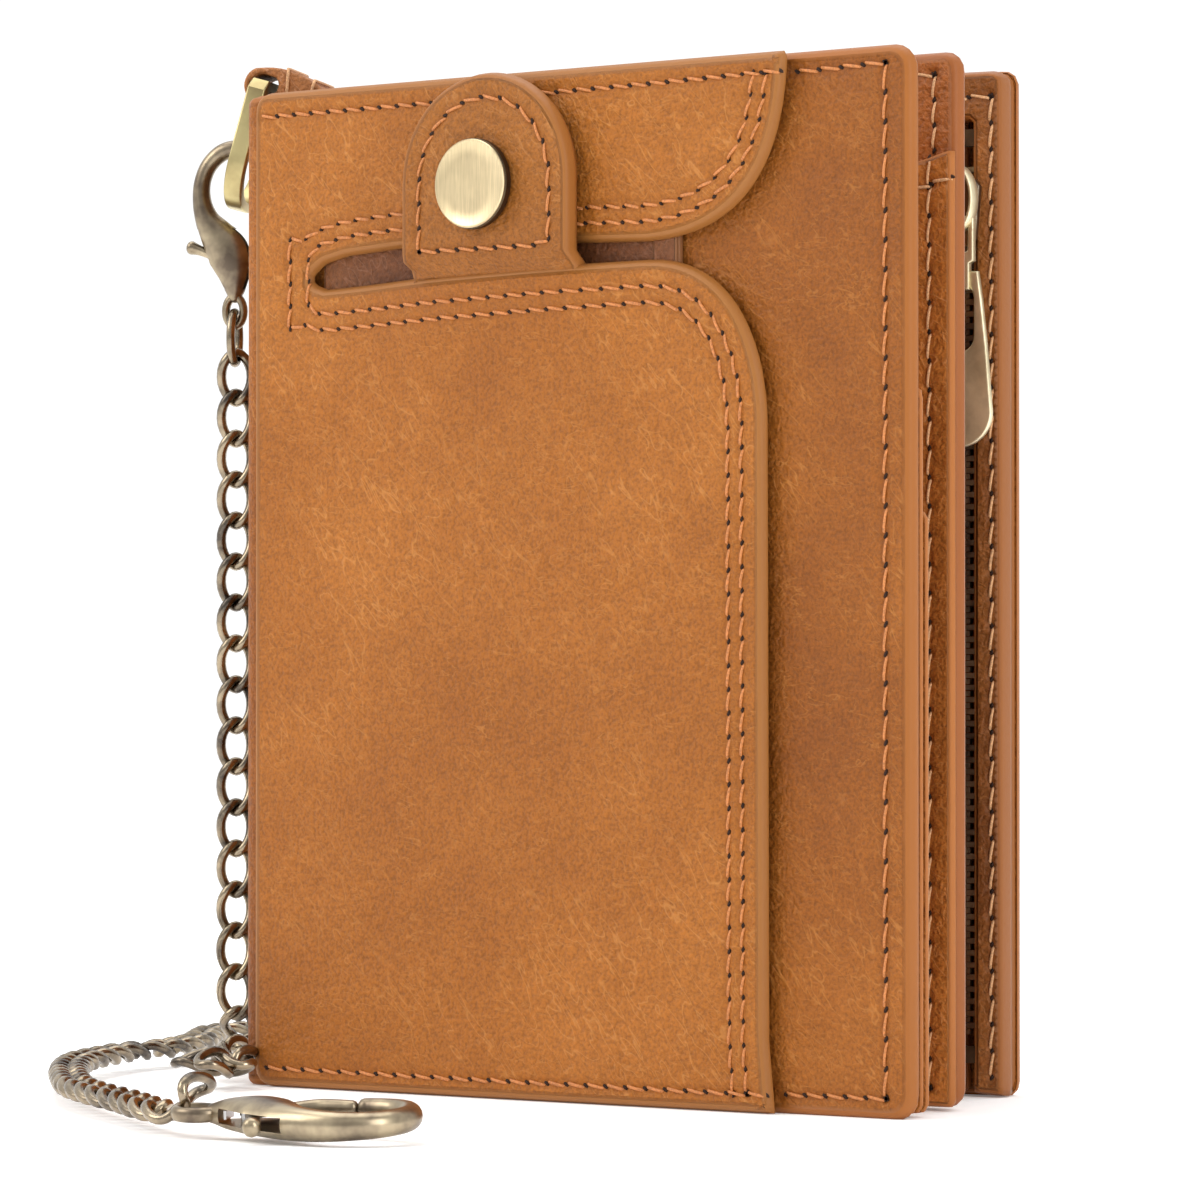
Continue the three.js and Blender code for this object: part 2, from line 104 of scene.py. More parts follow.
class Wrap:
    """A leaf bent round the spine. x follows the shell's outer face from the front cover's free
    edge at -COVER_WIDTH, past both folds, to the back cover's free edge."""

    def __init__(self):
        first, second = SPINE_ANGLE, SPINE_ANGLE - BACK_ANGLE
        reach_1 = FOLD_RADIUS / math.tan(math.radians(first / 2))
        reach_2 = FOLD_RADIUS / math.tan(math.radians((180 - second) / 2))
        plan = [(COVER_WIDTH, 0.0), (reach_1, 0.0)]
        centre = (reach_1, FOLD_RADIUS)
        bend = 180 - first
        for step in range(1, FOLD_STEPS + 1):
            x, y = turned(0, -FOLD_RADIUS, -bend * step / FOLD_STEPS)
            plan.append((centre[0] + x, centre[1] + y))
        end = turned(SPINE_WIDTH, 0, SPINE_ANGLE)
        start_2 = turned(SPINE_WIDTH - reach_2, 0, SPINE_ANGLE)
        inward = turned(0, -1, SPINE_ANGLE)
        centre = (start_2[0] + inward[0] * FOLD_RADIUS, start_2[1] + inward[1] * FOLD_RADIUS)
        self.spine_end = -reach_1 + FOLD_RADIUS * math.radians(bend) + SPINE_WIDTH - reach_1 - reach_2
        for step in range(FOLD_STEPS + 1):
            x, y = turned(-inward[0] * FOLD_RADIUS, -inward[1] * FOLD_RADIUS, -second * step / FOLD_STEPS)
            plan.append((centre[0] + x, centre[1] + y))
        x, y = turned(BACK_WIDTH, 0, BACK_ANGLE)
        plan.append((end[0] + x, end[1] + y))
        plan = np.array(plan)
        steps = np.hypot(*np.diff(plan, axis=0).T)
        along = np.concatenate([[0], np.cumsum(steps)]) - COVER_WIDTH
        self.length = along[-1]
        self.sample = np.arange(along[0], along[-1] + 0.1, 0.1)
        self.x = np.interp(self.sample, along, plan[:, 0])
        self.y = np.interp(self.sample, along, plan[:, 1])
        window = np.hanning(11)
        window /= window.sum()
        heading = np.unwrap(np.arctan2(np.gradient(self.y), np.gradient(self.x)))
        padded = np.pad(heading, 5, mode="edge")
        heading = np.convolve(padded, window, mode="valid")
        self.inner_x = np.sin(heading)
        self.inner_y = -np.cos(heading)

    def world(self, points):
        u, y, z = np.asarray(points, float).reshape(-1, 3).T
        wx = np.interp(u, self.sample, self.x) + y * np.interp(u, self.sample, self.inner_x)
        wy = np.interp(u, self.sample, self.y) + y * np.interp(u, self.sample, self.inner_y)
        return np.stack([wx - FOOTPRINT_MIDDLE[0], wy - FOOTPRINT_MIDDLE[1], z], 1) * MM

    def point(self, x, y, z):
        return Vector(self.world([[x, y, z]])[0])


SPINE_END = turned(SPINE_WIDTH, 0, SPINE_ANGLE)
ROOM = Leaf((0, 0), 0)
FRONT = Leaf((0, 0), 0)
SPINE = Leaf((0, 0), SPINE_ANGLE)
BACK = Leaf(SPINE_END, BACK_ANGLE)
PAGE = Leaf(PAGE_HINGE, PAGE_ANGLE)
TETHER = Leaf((SPINE_END[0] / 2, SPINE_END[1] / 2), SPINE_ANGLE + 90)
WRAP = Wrap()


# ---- camera, floor and light ----
TOWARDS_CAMERA = (0.612, -0.791, 0.0)
LOOKING_UP = 0.884
FLOOR_HALF = 3.0


def camera():
    data = bpy.data.cameras.new("camera")
    data.lens = 173.1
    data.sensor_width = 36
    data.clip_end = 20
    eye = bpy.data.objects.new("camera", data)
    eye.location = (0.4201, -0.5461, 0.048)
    heading = Vector((-TOWARDS_CAMERA[0], -TOWARDS_CAMERA[1], math.tan(math.radians(LOOKING_UP))))
    eye.rotation_euler = heading.to_track_quat("-Z", "Y").to_euler()
    bpy.context.scene.collection.objects.link(eye)
    bpy.context.scene.camera = eye


def area_light(name, place, target, size, power, colour=(1, 1, 1)):
    data = bpy.data.lights.new(name, "AREA")
    data.shape = "RECTANGLE"
    data.size, data.size_y = size
    data.energy = power
    data.color = colour
    light = bpy.data.objects.new(name, data)
    light.location = place
    light.rotation_euler = (Vector(target) - Vector(place)).to_track_quat("-Z", "Y").to_euler()
    bpy.context.scene.collection.objects.link(light)


def walls(tree, background):
    """The studio is white at the back, with grey walls and white panels at the front."""
    place = tree.nodes.new("ShaderNodeTexCoord")
    front = tree.nodes.new("ShaderNodeVectorMath")
    front.operation = "DOT_PRODUCT"
    front.inputs[1].default_value = TOWARDS_CAMERA
    tree.links.new(place.outputs["Generated"], front.inputs[0])
    tone = tree.nodes.new("ShaderNodeValToRGB")
    elements = tone.color_ramp.elements
    stops = [(0.0, 1.0), (0.12, 0.98), (0.3, 0.45), (0.48, 0.5),
             (0.6, 0.95), (0.76, 0.85), (0.9, 0.4), (1, 0.6)]
    for index, (at, value) in enumerate(stops):
        element = elements[index] if index < 2 else elements.new(at)
        element.position = at
        element.color = (value, value, value, 1)
    tree.links.new(front.outputs["Value"], tone.inputs["Fac"])
    tree.links.new(tone.outputs["Color"], background.inputs["Color"])


def studio():
    scene = bpy.context.scene
    scene.view_settings.view_transform = "Standard"
    scene.world = scene.world or bpy.data.worlds.new("studio")
    scene.world.use_nodes = True
    background = scene.world.node_tree.nodes["Background"]
    background.inputs["Strength"].default_value = 1.08
    walls(scene.world.node_tree, background)
    middle = (0, 0, 0.06)
    area_light("key", (-0.5, -0.65, 0.7), middle, (0.6, 0.6), 4.2, (1, 0.98, 0.95))
    area_light("side", (0.8, -0.25, 0.35), middle, (0.25, 0.6), 2.6)
    area_light("top", (-0.1, 0.1, 1.0), middle, (0.9, 0.9), 5.0)
    material = bpy.data.materials.new("floor")
    material.use_nodes = True
    shader = material.node_tree.nodes["Principled BSDF"]
    shader.inputs["Base Color"].default_value = (1, 1, 1, 1)
    shader.inputs["Roughness"].default_value = 0.9
    shader.inputs["Specular IOR Level"].default_value = 0.1
    shader.inputs["Emission Color"].default_value = (1, 1, 1, 1)
    shader.inputs["Emission Strength"].default_value = 0.13
    corners = [(x * FLOOR_HALF, y * FLOOR_HALF, 0) for x, y in ((-1, -1), (1, -1), (1, 1), (-1, 1))]
    mesh = bpy.data.meshes.new("floor")
    mesh.from_pydata(corners, [], [(0, 1, 2, 3)])
    mesh.materials.append(material)
    floor = bpy.data.objects.new("floor", mesh)
    bpy.context.scene.collection.objects.link(floor)


# ---- material helpers ----
class Nodes:
    """A material's node tree, with short calls for the nodes used here."""

    def __init__(self, name):
        self.material = bpy.data.materials.new(name)
        self.material.use_nodes = True
        self.tree = self.material.node_tree
        self.shader = self.tree.nodes["Principled BSDF"]
        self.place = self.tree.nodes.new("ShaderNodeTexCoord").outputs["Object"]

    def link(self, source, target):
        self.tree.links.new(source, target)

    def set(self, **values):
        for name, value in values.items():
            self.shader.inputs[name.replace("_", " ")].default_value = value

    def stretched(self, scale):
        node = self.tree.nodes.new("ShaderNodeMapping")
        node.inputs["Scale"].default_value = scale
        self.link(self.place, node.inputs["Vector"])
        return node.outputs["Vector"]

    def drawn_out(self, degrees, stretch):
        """Coordinates drawn out along a line in x and z that falls towards +x by an angle."""
        node = self.tree.nodes.new("ShaderNodeMapping")
        node.vector_type = "TEXTURE"
        node.inputs["Rotation"].default_value = (0, math.radians(degrees), 0)
        node.inputs["Scale"].default_value = (stretch, 1, 1)
        self.link(self.place, node.inputs["Vector"])
        return node.outputs["Vector"]

    def creases(self, degrees, stretch, scale, width):
        """Fine lines, 1 in the middle of a line and 0 beside it."""
        vein = self.noise(scale, 2, 0.55, 0.5, self.drawn_out(degrees, stretch))
        gap = self.math("ABSOLUTE", self.math("SUBTRACT", vein, 0.5))
        return self.ramp(gap, (0.0, 1.0), (width, 0.0))

    def noise(self, scale, detail=3.0, roughness=0.5, distortion=0.0, vector=None):
        node = self.tree.nodes.new("ShaderNodeTexNoise")
        node.inputs["Scale"].default_value = scale
        node.inputs["Detail"].default_value = detail
        node.inputs["Roughness"].default_value = roughness
        node.inputs["Distortion"].default_value = distortion
        self.link(vector or self.place, node.inputs["Vector"])
        return node.outputs["Fac"]

    def attribute(self, name):
        node = self.tree.nodes.new("ShaderNodeAttribute")
        node.attribute_name = name
        return node.outputs["Fac"]

    def ramp(self, source, *stops):
        node = self.tree.nodes.new("ShaderNodeValToRGB")
        elements = node.color_ramp.elements
        for index, (place, value) in enumerate(stops):
            element = elements[index] if index < 2 else elements.new(place)
            element.position = place
            element.color = (*value, 1) if hasattr(value, "__len__") else (value, value, value, 1)
        self.link(source, node.inputs["Fac"])
        return node.outputs["Color"]

    def mix(self, factor, first, second, kind="MIX"):
        node = self.tree.nodes.new("ShaderNodeMix")
        node.data_type = "RGBA"
        node.blend_type = kind
        sockets = [s for s in node.inputs if s.name in "AB" and s.type == "RGBA"]
        for socket, value in zip([node.inputs["Factor"], *sockets], [factor, first, second]):
            if hasattr(value, "is_output"):
                self.link(value, socket)
            elif isinstance(value, (int, float)):
                socket.default_value = value
            else:
                socket.default_value = (*value, 1)
        return [s for s in node.outputs if s.type == "RGBA"][0]

    def math(self, kind, first, second=0.0):
        node = self.tree.nodes.new("ShaderNodeMath")
        node.operation = kind
        for socket, value in zip(node.inputs, [first, second]):
            if hasattr(value, "is_output"):
                self.link(value, socket)
            else:
                socket.default_value = value
        return node.outputs["Value"]

    def bump(self, height, distance, strength=1.0, after=None):
        node = self.tree.nodes.new("ShaderNodeBump")
        node.inputs["Distance"].default_value = distance
        node.inputs["Strength"].default_value = strength
        self.link(height, node.inputs["Height"])
        if after is not None:
            self.link(after, node.inputs["Normal"])
        self.link(node.outputs["Normal"], self.shader.inputs["Normal"])
        return node.outputs["Normal"]

    def colour(self, socket):
        self.link(socket, self.shader.inputs["Base Color"])

    def rough(self, source, low, high):
        node = self.tree.nodes.new("ShaderNodeMapRange")
        node.inputs["To Min"].default_value = low
        node.inputs["To Max"].default_value = high
        self.link(source, node.inputs["Value"])
        self.link(node.outputs["Result"], self.shader.inputs["Roughness"])


def leather(name, light, middle, dark, paint, shine=0.28):
    """Pull-up leather: mottled, finely grained and creased, with a painted rim and dark seams."""
    n = Nodes(name)
    clouds = n.noise(30, 4, 0.55)
    colour = n.ramp(clouds, (0.32, dark), (0.5, middle), (0.7, light))
    patches = n.noise(160, 5, 0.65)
    colour = n.mix(n.ramp(patches, (0.35, 0.0), (0.75, 0.55)), colour, middle)
    pores = n.noise(2400, 2, 0.6)
    pore_tone = n.ramp(pores, (0.36, 0.8), (0.5, 1.0), (0.64, 1.16))
    colour = n.mix(1.0, colour, pore_tone, "MULTIPLY")
    pebbles = n.noise(1250, 1, 0.5, 0.3)
    colour = n.mix(1.0, colour, n.ramp(pebbles, (0.36, 0.94), (0.62, 1.05)), "MULTIPLY")
    scuffed = tuple(min(1.0, value * share) for value, share in zip(light, (1.3, 1.55, 2.6)))
    slanting = n.ramp(clouds, (0.42, 0.0), (0.56, 0.7))
    slanting = n.mix(1.0, slanting, n.creases(50, 3.2, 430, 0.018), "MULTIPLY")
    level = n.ramp(patches, (0.42, 0.0), (0.6, 0.5))
    level = n.mix(1.0, level, n.creases(6, 2.4, 620, 0.018), "MULTIPLY")
    crease = n.mix(1.0, slanting, level, "LIGHTEN")
    colour = n.mix(crease, colour, scuffed)
    seam = n.attribute("seam")
    colour = n.mix(n.math("MULTIPLY", seam, 0.5), colour, dark)
    rim = n.attribute("rim")
    colour = n.mix(rim, colour, paint)
    n.colour(colour)
    n.rough(n.mix(rim, patches, (0.1, 0.1, 0.1)), 0.45, 0.65)
    n.set(Specular_IOR_Level=shine)
    calm = n.math("SUBTRACT", 1.0, n.math("MULTIPLY", rim, 0.9))
    grain = n.math("ADD", pores, n.math("MULTIPLY", pebbles, 2.0))
    normal = n.bump(n.math("MULTIPLY", grain, calm), 0.00028, 0.6)
    normal = n.bump(n.math("MULTIPLY", crease, calm), 0.00015, 0.4, normal)
    n.bump(n.math("MULTIPLY", patches, calm), 0.0006, 0.5, normal)
    return n.material


def cloth(name, colour, weave=1800):
    n = Nodes(name)
    threads = n.noise(weave, 2, 0.6)
    n.colour(n.mix(1.0, n.ramp(threads, (0.3, 0.6), (0.7, 1.15)), colour, "MULTIPLY"))
    n.set(Roughness=0.85, Specular_IOR_Level=0.2)
    n.bump(threads, 0.0001, 0.6)
    return n.material


def thread(name, colour):
    n = Nodes(name)
    plies = n.noise(4200, 2, 0.5)
    n.colour(n.mix(1.0, n.ramp(plies, (0.3, 0.62), (0.65, 1.12)), colour, "MULTIPLY"))
    n.set(Roughness=0.55, Specular_IOR_Level=0.5)
    n.bump(plies, 0.00005, 0.7)
    return n.material


def plain(name, colour, roughness, metallic=0.0, **values):
    n = Nodes(name)
    n.set(Base_Color=(*colour, 1), Roughness=roughness, Metallic=metallic, **values)
    return n.material


def metal(name, bright, dark, low, high, patina=260, brushed=None):
    """Plated metal: its patina is darker and rougher, and brushed gives the lines' scale."""
    n = Nodes(name)
    n.set(Metallic=1.0)
    stain = n.noise(patina, 4, 0.6)
    tone = n.ramp(stain, (0.36, dark), (0.62, bright))
    if brushed:
        lines = n.noise(1, 2, 0.7, 0, n.stretched(brushed))
        tone = n.mix(1.0, tone, n.ramp(lines, (0.3, 0.84), (0.7, 1.08)), "MULTIPLY")
        n.bump(lines, 0.00003, 0.4)
    n.colour(tone)
    n.rough(stain, high, low)
    return n.material


TAN = leather("tan_leather", (0.4, 0.137, 0.019), (0.325, 0.104, 0.011), (0.275, 0.084, 0.008),
              (0.32, 0.125, 0.028))
SHELL_TAN = leather("shell_leather", (0.35, 0.113, 0.014), (0.262, 0.078, 0.007), (0.195, 0.054, 0.005),
                    (0.33, 0.11, 0.02))
TAB = leather("tab_leather", (0.37, 0.13, 0.021), (0.29, 0.097, 0.012), (0.23, 0.072, 0.008),
              (0.31, 0.115, 0.024))
STRIP = leather("strip_leather", (0.32, 0.112, 0.021), (0.245, 0.08, 0.014), (0.165, 0.05, 0.009),
                (0.28, 0.092, 0.017))
INNER = leather("inner_leather", (0.5, 0.178, 0.033), (0.41, 0.134, 0.022), (0.28, 0.085, 0.013),
                (0.38, 0.128, 0.025))
RED = leather("red_leather", (0.43, 0.135, 0.028), (0.33, 0.1, 0.02), (0.21, 0.058, 0.012),
              (0.3, 0.094, 0.022))
DEEP = leather("deep_leather", (0.2, 0.072, 0.022), (0.14, 0.045, 0.013), (0.08, 0.024, 0.007),
               (0.22, 0.09, 0.032))
STRAP = leather("strap_leather", (0.4, 0.16, 0.05), (0.32, 0.12, 0.035), (0.24, 0.085, 0.024),
                (0.34, 0.135, 0.04))
LINING = cloth("lining", (0.085, 0.05, 0.03))
TAPE = cloth("zip_tape", (0.05, 0.03, 0.02), 2600)
ORANGE = thread("orange_thread", (0.58, 0.21, 0.058))
CREAM = thread("cream_thread", (0.66, 0.36, 0.17))
# Needle holes are painted near black: this is painted shade inside each hole.
HOLE_SHADE = plain("needle_hole_shade", (0.03, 0.011, 0.005), 0.9)
FILM = plain("window_film", (0.8, 0.82, 0.82), 0.12, Alpha=0.35)
BRASS = metal("satin_brass", (0.82, 0.66, 0.4), (0.62, 0.5, 0.3), 0.28, 0.42, 90, (6000, 6000, 220))
RING_BRASS = metal("ring_brass", (0.56, 0.47, 0.23), (0.34, 0.27, 0.13), 0.26, 0.4, 120)
PULL_BRASS = metal("pull_brass", (0.86, 0.78, 0.55), (0.62, 0.54, 0.35), 0.42, 0.55, 200)
# Dark brass for the zip stops; on the snap cap's side it is painted shade.
DARK_BRASS_AND_SHADE = metal("dark_brass_and_shade", (0.12, 0.085, 0.05), (0.06, 0.042, 0.028), 0.35, 0.5, 300)
ANTIQUE = metal("antique_brass", (0.44, 0.36, 0.24), (0.15, 0.115, 0.085), 0.24, 0.42, 150)
GUNMETAL = metal("chain_metal", (0.36, 0.29, 0.2), (0.09, 0.076, 0.064), 0.16, 0.34, 240)
STEEL = plain("spring_steel", (0.5, 0.5, 0.5), 0.3, 1.0)


# ---- mesh helpers ----
def make(name, vertices, faces, material, body=None, sharp=None, attributes=None):
    mesh = bpy.data.meshes.new(name)
    mesh.from_pydata(np.asarray(vertices).tolist(), [], [list(map(int, face)) for face in faces])
    mesh.materials.append(material)
    mesh.polygons.foreach_set("use_smooth", [True] * len(mesh.polygons))
    if sharp:
        mesh.set_sharp_from_angle(angle=math.radians(sharp))
    for key, values in (attributes or {}).items():
        layer = mesh.attributes.new(key, "FLOAT", "POINT")
        layer.data.foreach_set("value", np.asarray(values, np.float32))
    mesh.update()
    piece = bpy.data.objects.new(name, mesh)
    bpy.context.scene.collection.objects.link(piece)
    if body:
        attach(piece, body)
    return piece


class Batch:
    """Vertices and faces of several small solids that make one mesh."""

    def __init__(self):
        self.vertices = []
        self.faces = []

    def add(self, vertices, faces):
        start = len(self.vertices)
        self.vertices.extend(np.asarray(vertices).tolist())
        self.faces.extend([[start + int(i) for i in face] for face in faces])


def resampled(path, step, closed=False):
    """Points along a polyline about a step apart, and the distance along it of each."""
    path = np.asarray(path, float)
    if closed:
        path = np.vstack([path, path[:1]])
    along = np.concatenate([[0], np.cumsum(np.linalg.norm(np.diff(path, axis=0), axis=1))])
    count = max(2, round(along[-1] / step))
    where = np.linspace(0, along[-1], count + 1)
    if closed:
        where = where[:-1]
    points = np.stack([np.interp(where, along, path[:, k]) for k in range(path.shape[1])], 1)
    return points, where


def tangents(line, closed=False):
    """The direction of a line at each of its points."""
    steps = np.roll(line, -1, axis=0) - np.roll(line, 1, axis=0) if closed else np.gradient(line, axis=0)
    return steps / np.maximum(np.linalg.norm(steps, axis=1, keepdims=True), 1e-9)


def left_of(directions):
    """The directions in a plane, turned a quarter turn to the left."""
    return np.stack([-directions[:, 1], directions[:, 0]], 1)


def tube_faces(rings, sides, closed=False):
    """The faces of a tube whose vertices are rings of points: closed on itself, or with two ends."""
    faces = []
    for k in range(rings if closed else rings - 1):
        start, following = k * sides, (k + 1) % rings * sides
        for j in range(sides):
            after = (j + 1) % sides
            faces.append((start + j, start + after, following + after, following + j))
    if not closed:
        faces.append(tuple(range(sides))[::-1])
        faces.append(tuple((rings - 1) * sides + j for j in range(sides)))
    return faces


BOX_FACES = [(3, 2, 1, 0), (4, 5, 6, 7), (0, 1, 5, 4), (1, 2, 6, 5), (2, 3, 7, 6), (3, 0, 4, 7)]


def box_corners(low, high):
    (x0, y0, z0), (x1, y1, z1) = low, high
    return [(x, y, z) for z in (z0, z1) for x, y in ((x0, y0), (x1, y0), (x1, y1), (x0, y1))]


def smooth_curve(points, steps=12):
    """A Catmull-Rom curve through the points."""
    p = np.asarray(points, float)
    p = np.vstack([2 * p[0] - p[1], p, 2 * p[-1] - p[-2]])
    t = np.linspace(0, 1, steps, endpoint=False)[:, None]
    out = []
    for a, b, c, d in zip(p[:-3], p[1:-2], p[2:-1], p[3:]):
        out.append(0.5 * (2 * b + (c - a) * t + (2 * a - 5 * b + 4 * c - d) * t**2
                          + (3 * b - a - 3 * c + d) * t**3))
    return np.vstack([*out, p[-2:-1]])


def arc(centre, radius, start, end, steps=8):
    """Points of an arc, from start to end in degrees."""
    angles = np.radians(np.linspace(start, end, steps + 1))
    return [(centre[0] + radius * math.cos(a), centre[1] + radius * math.sin(a)) for a in angles]


def bezier(a, b, c, d, steps=14):
    t = np.linspace(0, 1, steps + 1)[:, None]
    a, b, c, d = (np.array(p, float) for p in (a, b, c, d))
    points = (1 - t) ** 3 * a + 3 * (1 - t) ** 2 * t * b + 3 * (1 - t) * t**2 * c + t**3 * d
    return [tuple(p) for p in points]


def rounded(x0, x1, z0, z1, free=2.0, bound=0.0):
    """A rectangle, with corners of one radius at its x1 side and another at its x0 side."""
    outline = []
    corners = [(x0, z0, bound, 180), (x1, z0, free, 270), (x1, z1, free, 0), (x0, z1, bound, 90)]
    for x, z, radius, start in corners:
        if radius > 0:
            inward_x = radius if x == x0 else -radius
            inward_z = radius if z == z0 else -radius
            outline += arc((x + inward_x, z + inward_z), radius, start, start + 90)
        else:
            outline.append((x, z))
    return outline


def segment_distance(points, path, closed=False):
    """Each point's distance from a polyline, and where along it the nearest place is."""
    path = np.asarray(path, float)
    if closed:
        path = np.vstack([path, path[:1]])
    a, b = path[:-1], path[1:]
    span = b - a
    length = np.maximum(np.linalg.norm(span, axis=1), 1e-9)
    start = np.concatenate([[0], np.cumsum(length)[:-1]])
    best = np.full(len(points), 1e9)
    where = np.zeros(len(points))
    for first in range(0, len(points), 4000):
        part = points[first:first + 4000]
        t = ((part[:, None, :] - a[None]) * span[None]).sum(2) / length[None] ** 2
        t = np.clip(t, 0, 1)
        gap = np.linalg.norm(part[:, None, :] - (a[None] + t[..., None] * span[None]), axis=2)
        nearest = gap.argmin(1)
        rows = np.arange(len(part))
        best[first:first + 4000] = gap[rows, nearest]
        where[first:first + 4000] = start[nearest] + t[rows, nearest] * length[nearest]
    return best, where


def inside(points, outline):
    x, z = points.T
    result = np.zeros(len(points), bool)
    ring = np.asarray(outline)
    for (x0, z0), (x1, z1) in zip(ring, np.roll(ring, -1, axis=0)):
        crosses = (z0 > z) != (z1 > z)
        if z0 != z1:
            result ^= crosses & (x < (x1 - x0) * (z - z0) / (z1 - z0) + x0)
    return result


# ---- stitched leather ----
POINTS_PER_STITCH = 8
# A needle hole is an oval that slants across its row: the cosine and sine of the slant, and half sizes.
HOLE_SLANT = (0.85, 0.53)
HOLE_HALF = (0.47, 0.21)
# Rings of vertices inside a sheet's outline, as shares of its rim, and how far in the last one reaches.
RIM_RINGS = (0.12, 0.4, 0.8, 1.35)
RIM_REACH = 1.7
# Where a stitch's thread rises out of one hole and sinks into the next: place, rise and width.
THREAD_STATIONS = [(0.0, -0.34, 0.7), (0.1, -0.02, 0.95), (0.28, 0.09, 1.0), (0.5, 0.12, 1.05),
                   (0.72, 0.09, 1.0), (0.9, -0.02, 0.95), (1.0, -0.34, 0.7)]


class Seam:
    """A row of stitches: a path in x and z, with a needle hole every pitch."""

    def __init__(self, path, pitch=3.3, colour=None, closed=False):
        path = list(path)
        if closed:
            path.append(path[0])
        length = np.linalg.norm(np.diff(np.asarray(path, float), axis=0), axis=1).sum()
        self.count = max(1, round(length / pitch))
        self.pitch = length / self.count
        self.points, _ = resampled(path, self.pitch / POINTS_PER_STITCH)
        self.colour = colour or ORANGE

    def depth(self, gap, where):
        """How deep the leather is drawn in, at a distance from the row."""
        hole = np.exp(-((((where / self.pitch + 0.5) % 1) - 0.5) * self.pitch / 0.38) ** 2)
        groove = 0.2 * np.exp(-((gap / 0.62) ** 2)) * (0.55 + 0.45 * hole)
        pit = 0.3 * hole * np.exp(-((gap / 0.3) ** 2))
        swell = 0.09 * np.exp(-(((gap - 1.35) / 0.6) ** 2))
        return groove + pit - swell


def seam_rows(seams):
    rows = []
    for seam in seams:
        normal = left_of(tangents(seam.points))
        for aside in (0, -0.4, 0.4, -0.95, 0.95):
            rows.append(seam.points + normal * aside)
    return rows


def flat_points(ring, outward, rim, seams, pitch, fold):
    """The points of a sheet's flat mesh: its outline, rings inside it, rows at seams, and a grid."""
    low, high = ring.min(0), ring.max(0)
    columns = np.arange(low[0], high[0], pitch)
    lines = np.arange(low[1], high[1], pitch * 0.87)
    grid = np.array([(x + (k % 2) * pitch / 2, z) for k, z in enumerate(lines) for x in columns])
    if fold:
        grid = grid[(grid[:, 0] < fold[0] - 1) | (grid[:, 0] > fold[1] + 1)]
        bent = [(x, z) for x in np.arange(fold[0], fold[1], 0.4) for z in np.arange(low[1], high[1], 2.5)]
        grid = np.vstack([grid, bent])
    points = [ring]
    for share in RIM_RINGS:
        points.append(ring - outward * rim * share)
    rows = seam_rows(seams)
    if rows:
        cloud = np.vstack(rows)
        clear, _ = segment_distance(cloud, ring, closed=True)
        points.append(cloud[inside(cloud, ring) & (clear > rim * RIM_REACH)])
    gap, _ = segment_distance(grid, ring, closed=True)
    good = inside(grid, ring) & (gap > rim * RIM_REACH + pitch * 0.35)
    for seam in seams:
        gap, _ = segment_distance(grid, seam.points)
        good &= gap > 1.4
    points.append(grid[good])
    return np.vstack(points)


def border_of(triangles):
    """The edges that only one triangle has."""
    directed = {}
    for a, b, c in triangles:
        for edge in ((a, b), (b, c), (c, a)):
            directed[edge] = True
    return [edge for edge in directed if (edge[1], edge[0]) not in directed]


def sheet(name, leaf, outline, face, back, material, body=None, rim=0.45, seams=(), pitch=2.2,
          lift=None, bulge=0.1, fold=None):
    """A sheet of leather with a rounded rim. Its visible face is at y=face, drawn in along seams.
    lift(x, z) moves the whole sheet in y. Between the two x of fold, where the leaf is bent, the
    mesh has close straight columns."""
    into = 1.0 if back > face else -1.0
    ring, _ = resampled(outline, 0.9, closed=True)
    area = np.sum(ring[:, 0] * np.roll(ring[:, 1], -1) - np.roll(ring[:, 0], -1) * ring[:, 1])
    if area < 0:
        ring = ring[::-1]
    outward = -left_of(tangents(ring, closed=True))
    flat = flat_points(ring, outward, rim, seams, pitch, fold)
    edges = [(k, (k + 1) % len(ring)) for k in range(len(ring))]
    result = delaunay_2d_cdt([Vector(p) for p in flat], edges, [], 1, 1e-4)
    flat = np.array([tuple(v) for v in result[0]])
    triangles = np.array([f for f in result[2] if len(f) == 3])
    distance, _ = segment_distance(flat, ring, closed=True)
    near = np.clip(distance, 0, rim)
    depth = rim - np.sqrt(np.maximum(rim**2 - (rim - near) ** 2, 0))
    drawn = np.zeros(len(flat))
    for seam in seams:
        gap, where = segment_distance(flat, seam.points)
        fade = np.clip((distance - rim) / 0.6, 0, 1)
        depth += seam.depth(gap, where) * fade
        drawn = np.maximum(drawn, np.exp(-((gap / 0.55) ** 2)))
    shift = lift(flat[:, 0], flat[:, 1]) if lift else np.zeros(len(flat))
    thickness = abs(back - face)
    count = len(flat)
    front = np.stack([flat[:, 0], face + into * depth + shift, flat[:, 1]], 1)
    rear = np.stack([flat[:, 0], np.full(count, back) + shift, flat[:, 1]], 1)
    border = border_of(triangles)
    used = sorted({i for edge in border for i in edge})
    middle_of = {index: 2 * count + k for k, index in enumerate(used)}
    middle = []
    for index in used:
        nearest = np.argmin(((ring - flat[index]) ** 2).sum(1))
        x, z = flat[index] + outward[nearest] * bulge * thickness
        middle.append((x, face + into * (rim + thickness) / 2 + shift[index], z))
    vertices = np.vstack([front, rear, np.array(middle)])
    faces = []
    for a, b, c in triangles:
        faces.append((a, b, c) if into > 0 else (a, c, b))
        faces.append((count + a, count + c, count + b) if into > 0 else (count + a, count + b, count + c))
    for a, b in border:
        for quad in ((a, middle_of[a], middle_of[b], b),
                     (middle_of[a], count + a, count + b, middle_of[b])):
            faces.append(quad if into > 0 else quad[::-1])
    painted = np.clip(1 - (distance - rim * 0.8) / 0.12, 0, 1)
    rim_value = np.concatenate([painted, np.zeros(count), np.ones(len(middle))])
    rim_value[count + np.array(used)] = 1
    seam_value = np.concatenate([drawn, np.zeros(count), np.zeros(len(middle))])
    return make(name, leaf.world(vertices), faces, material, body,
                attributes={"rim": rim_value, "seam": seam_value})


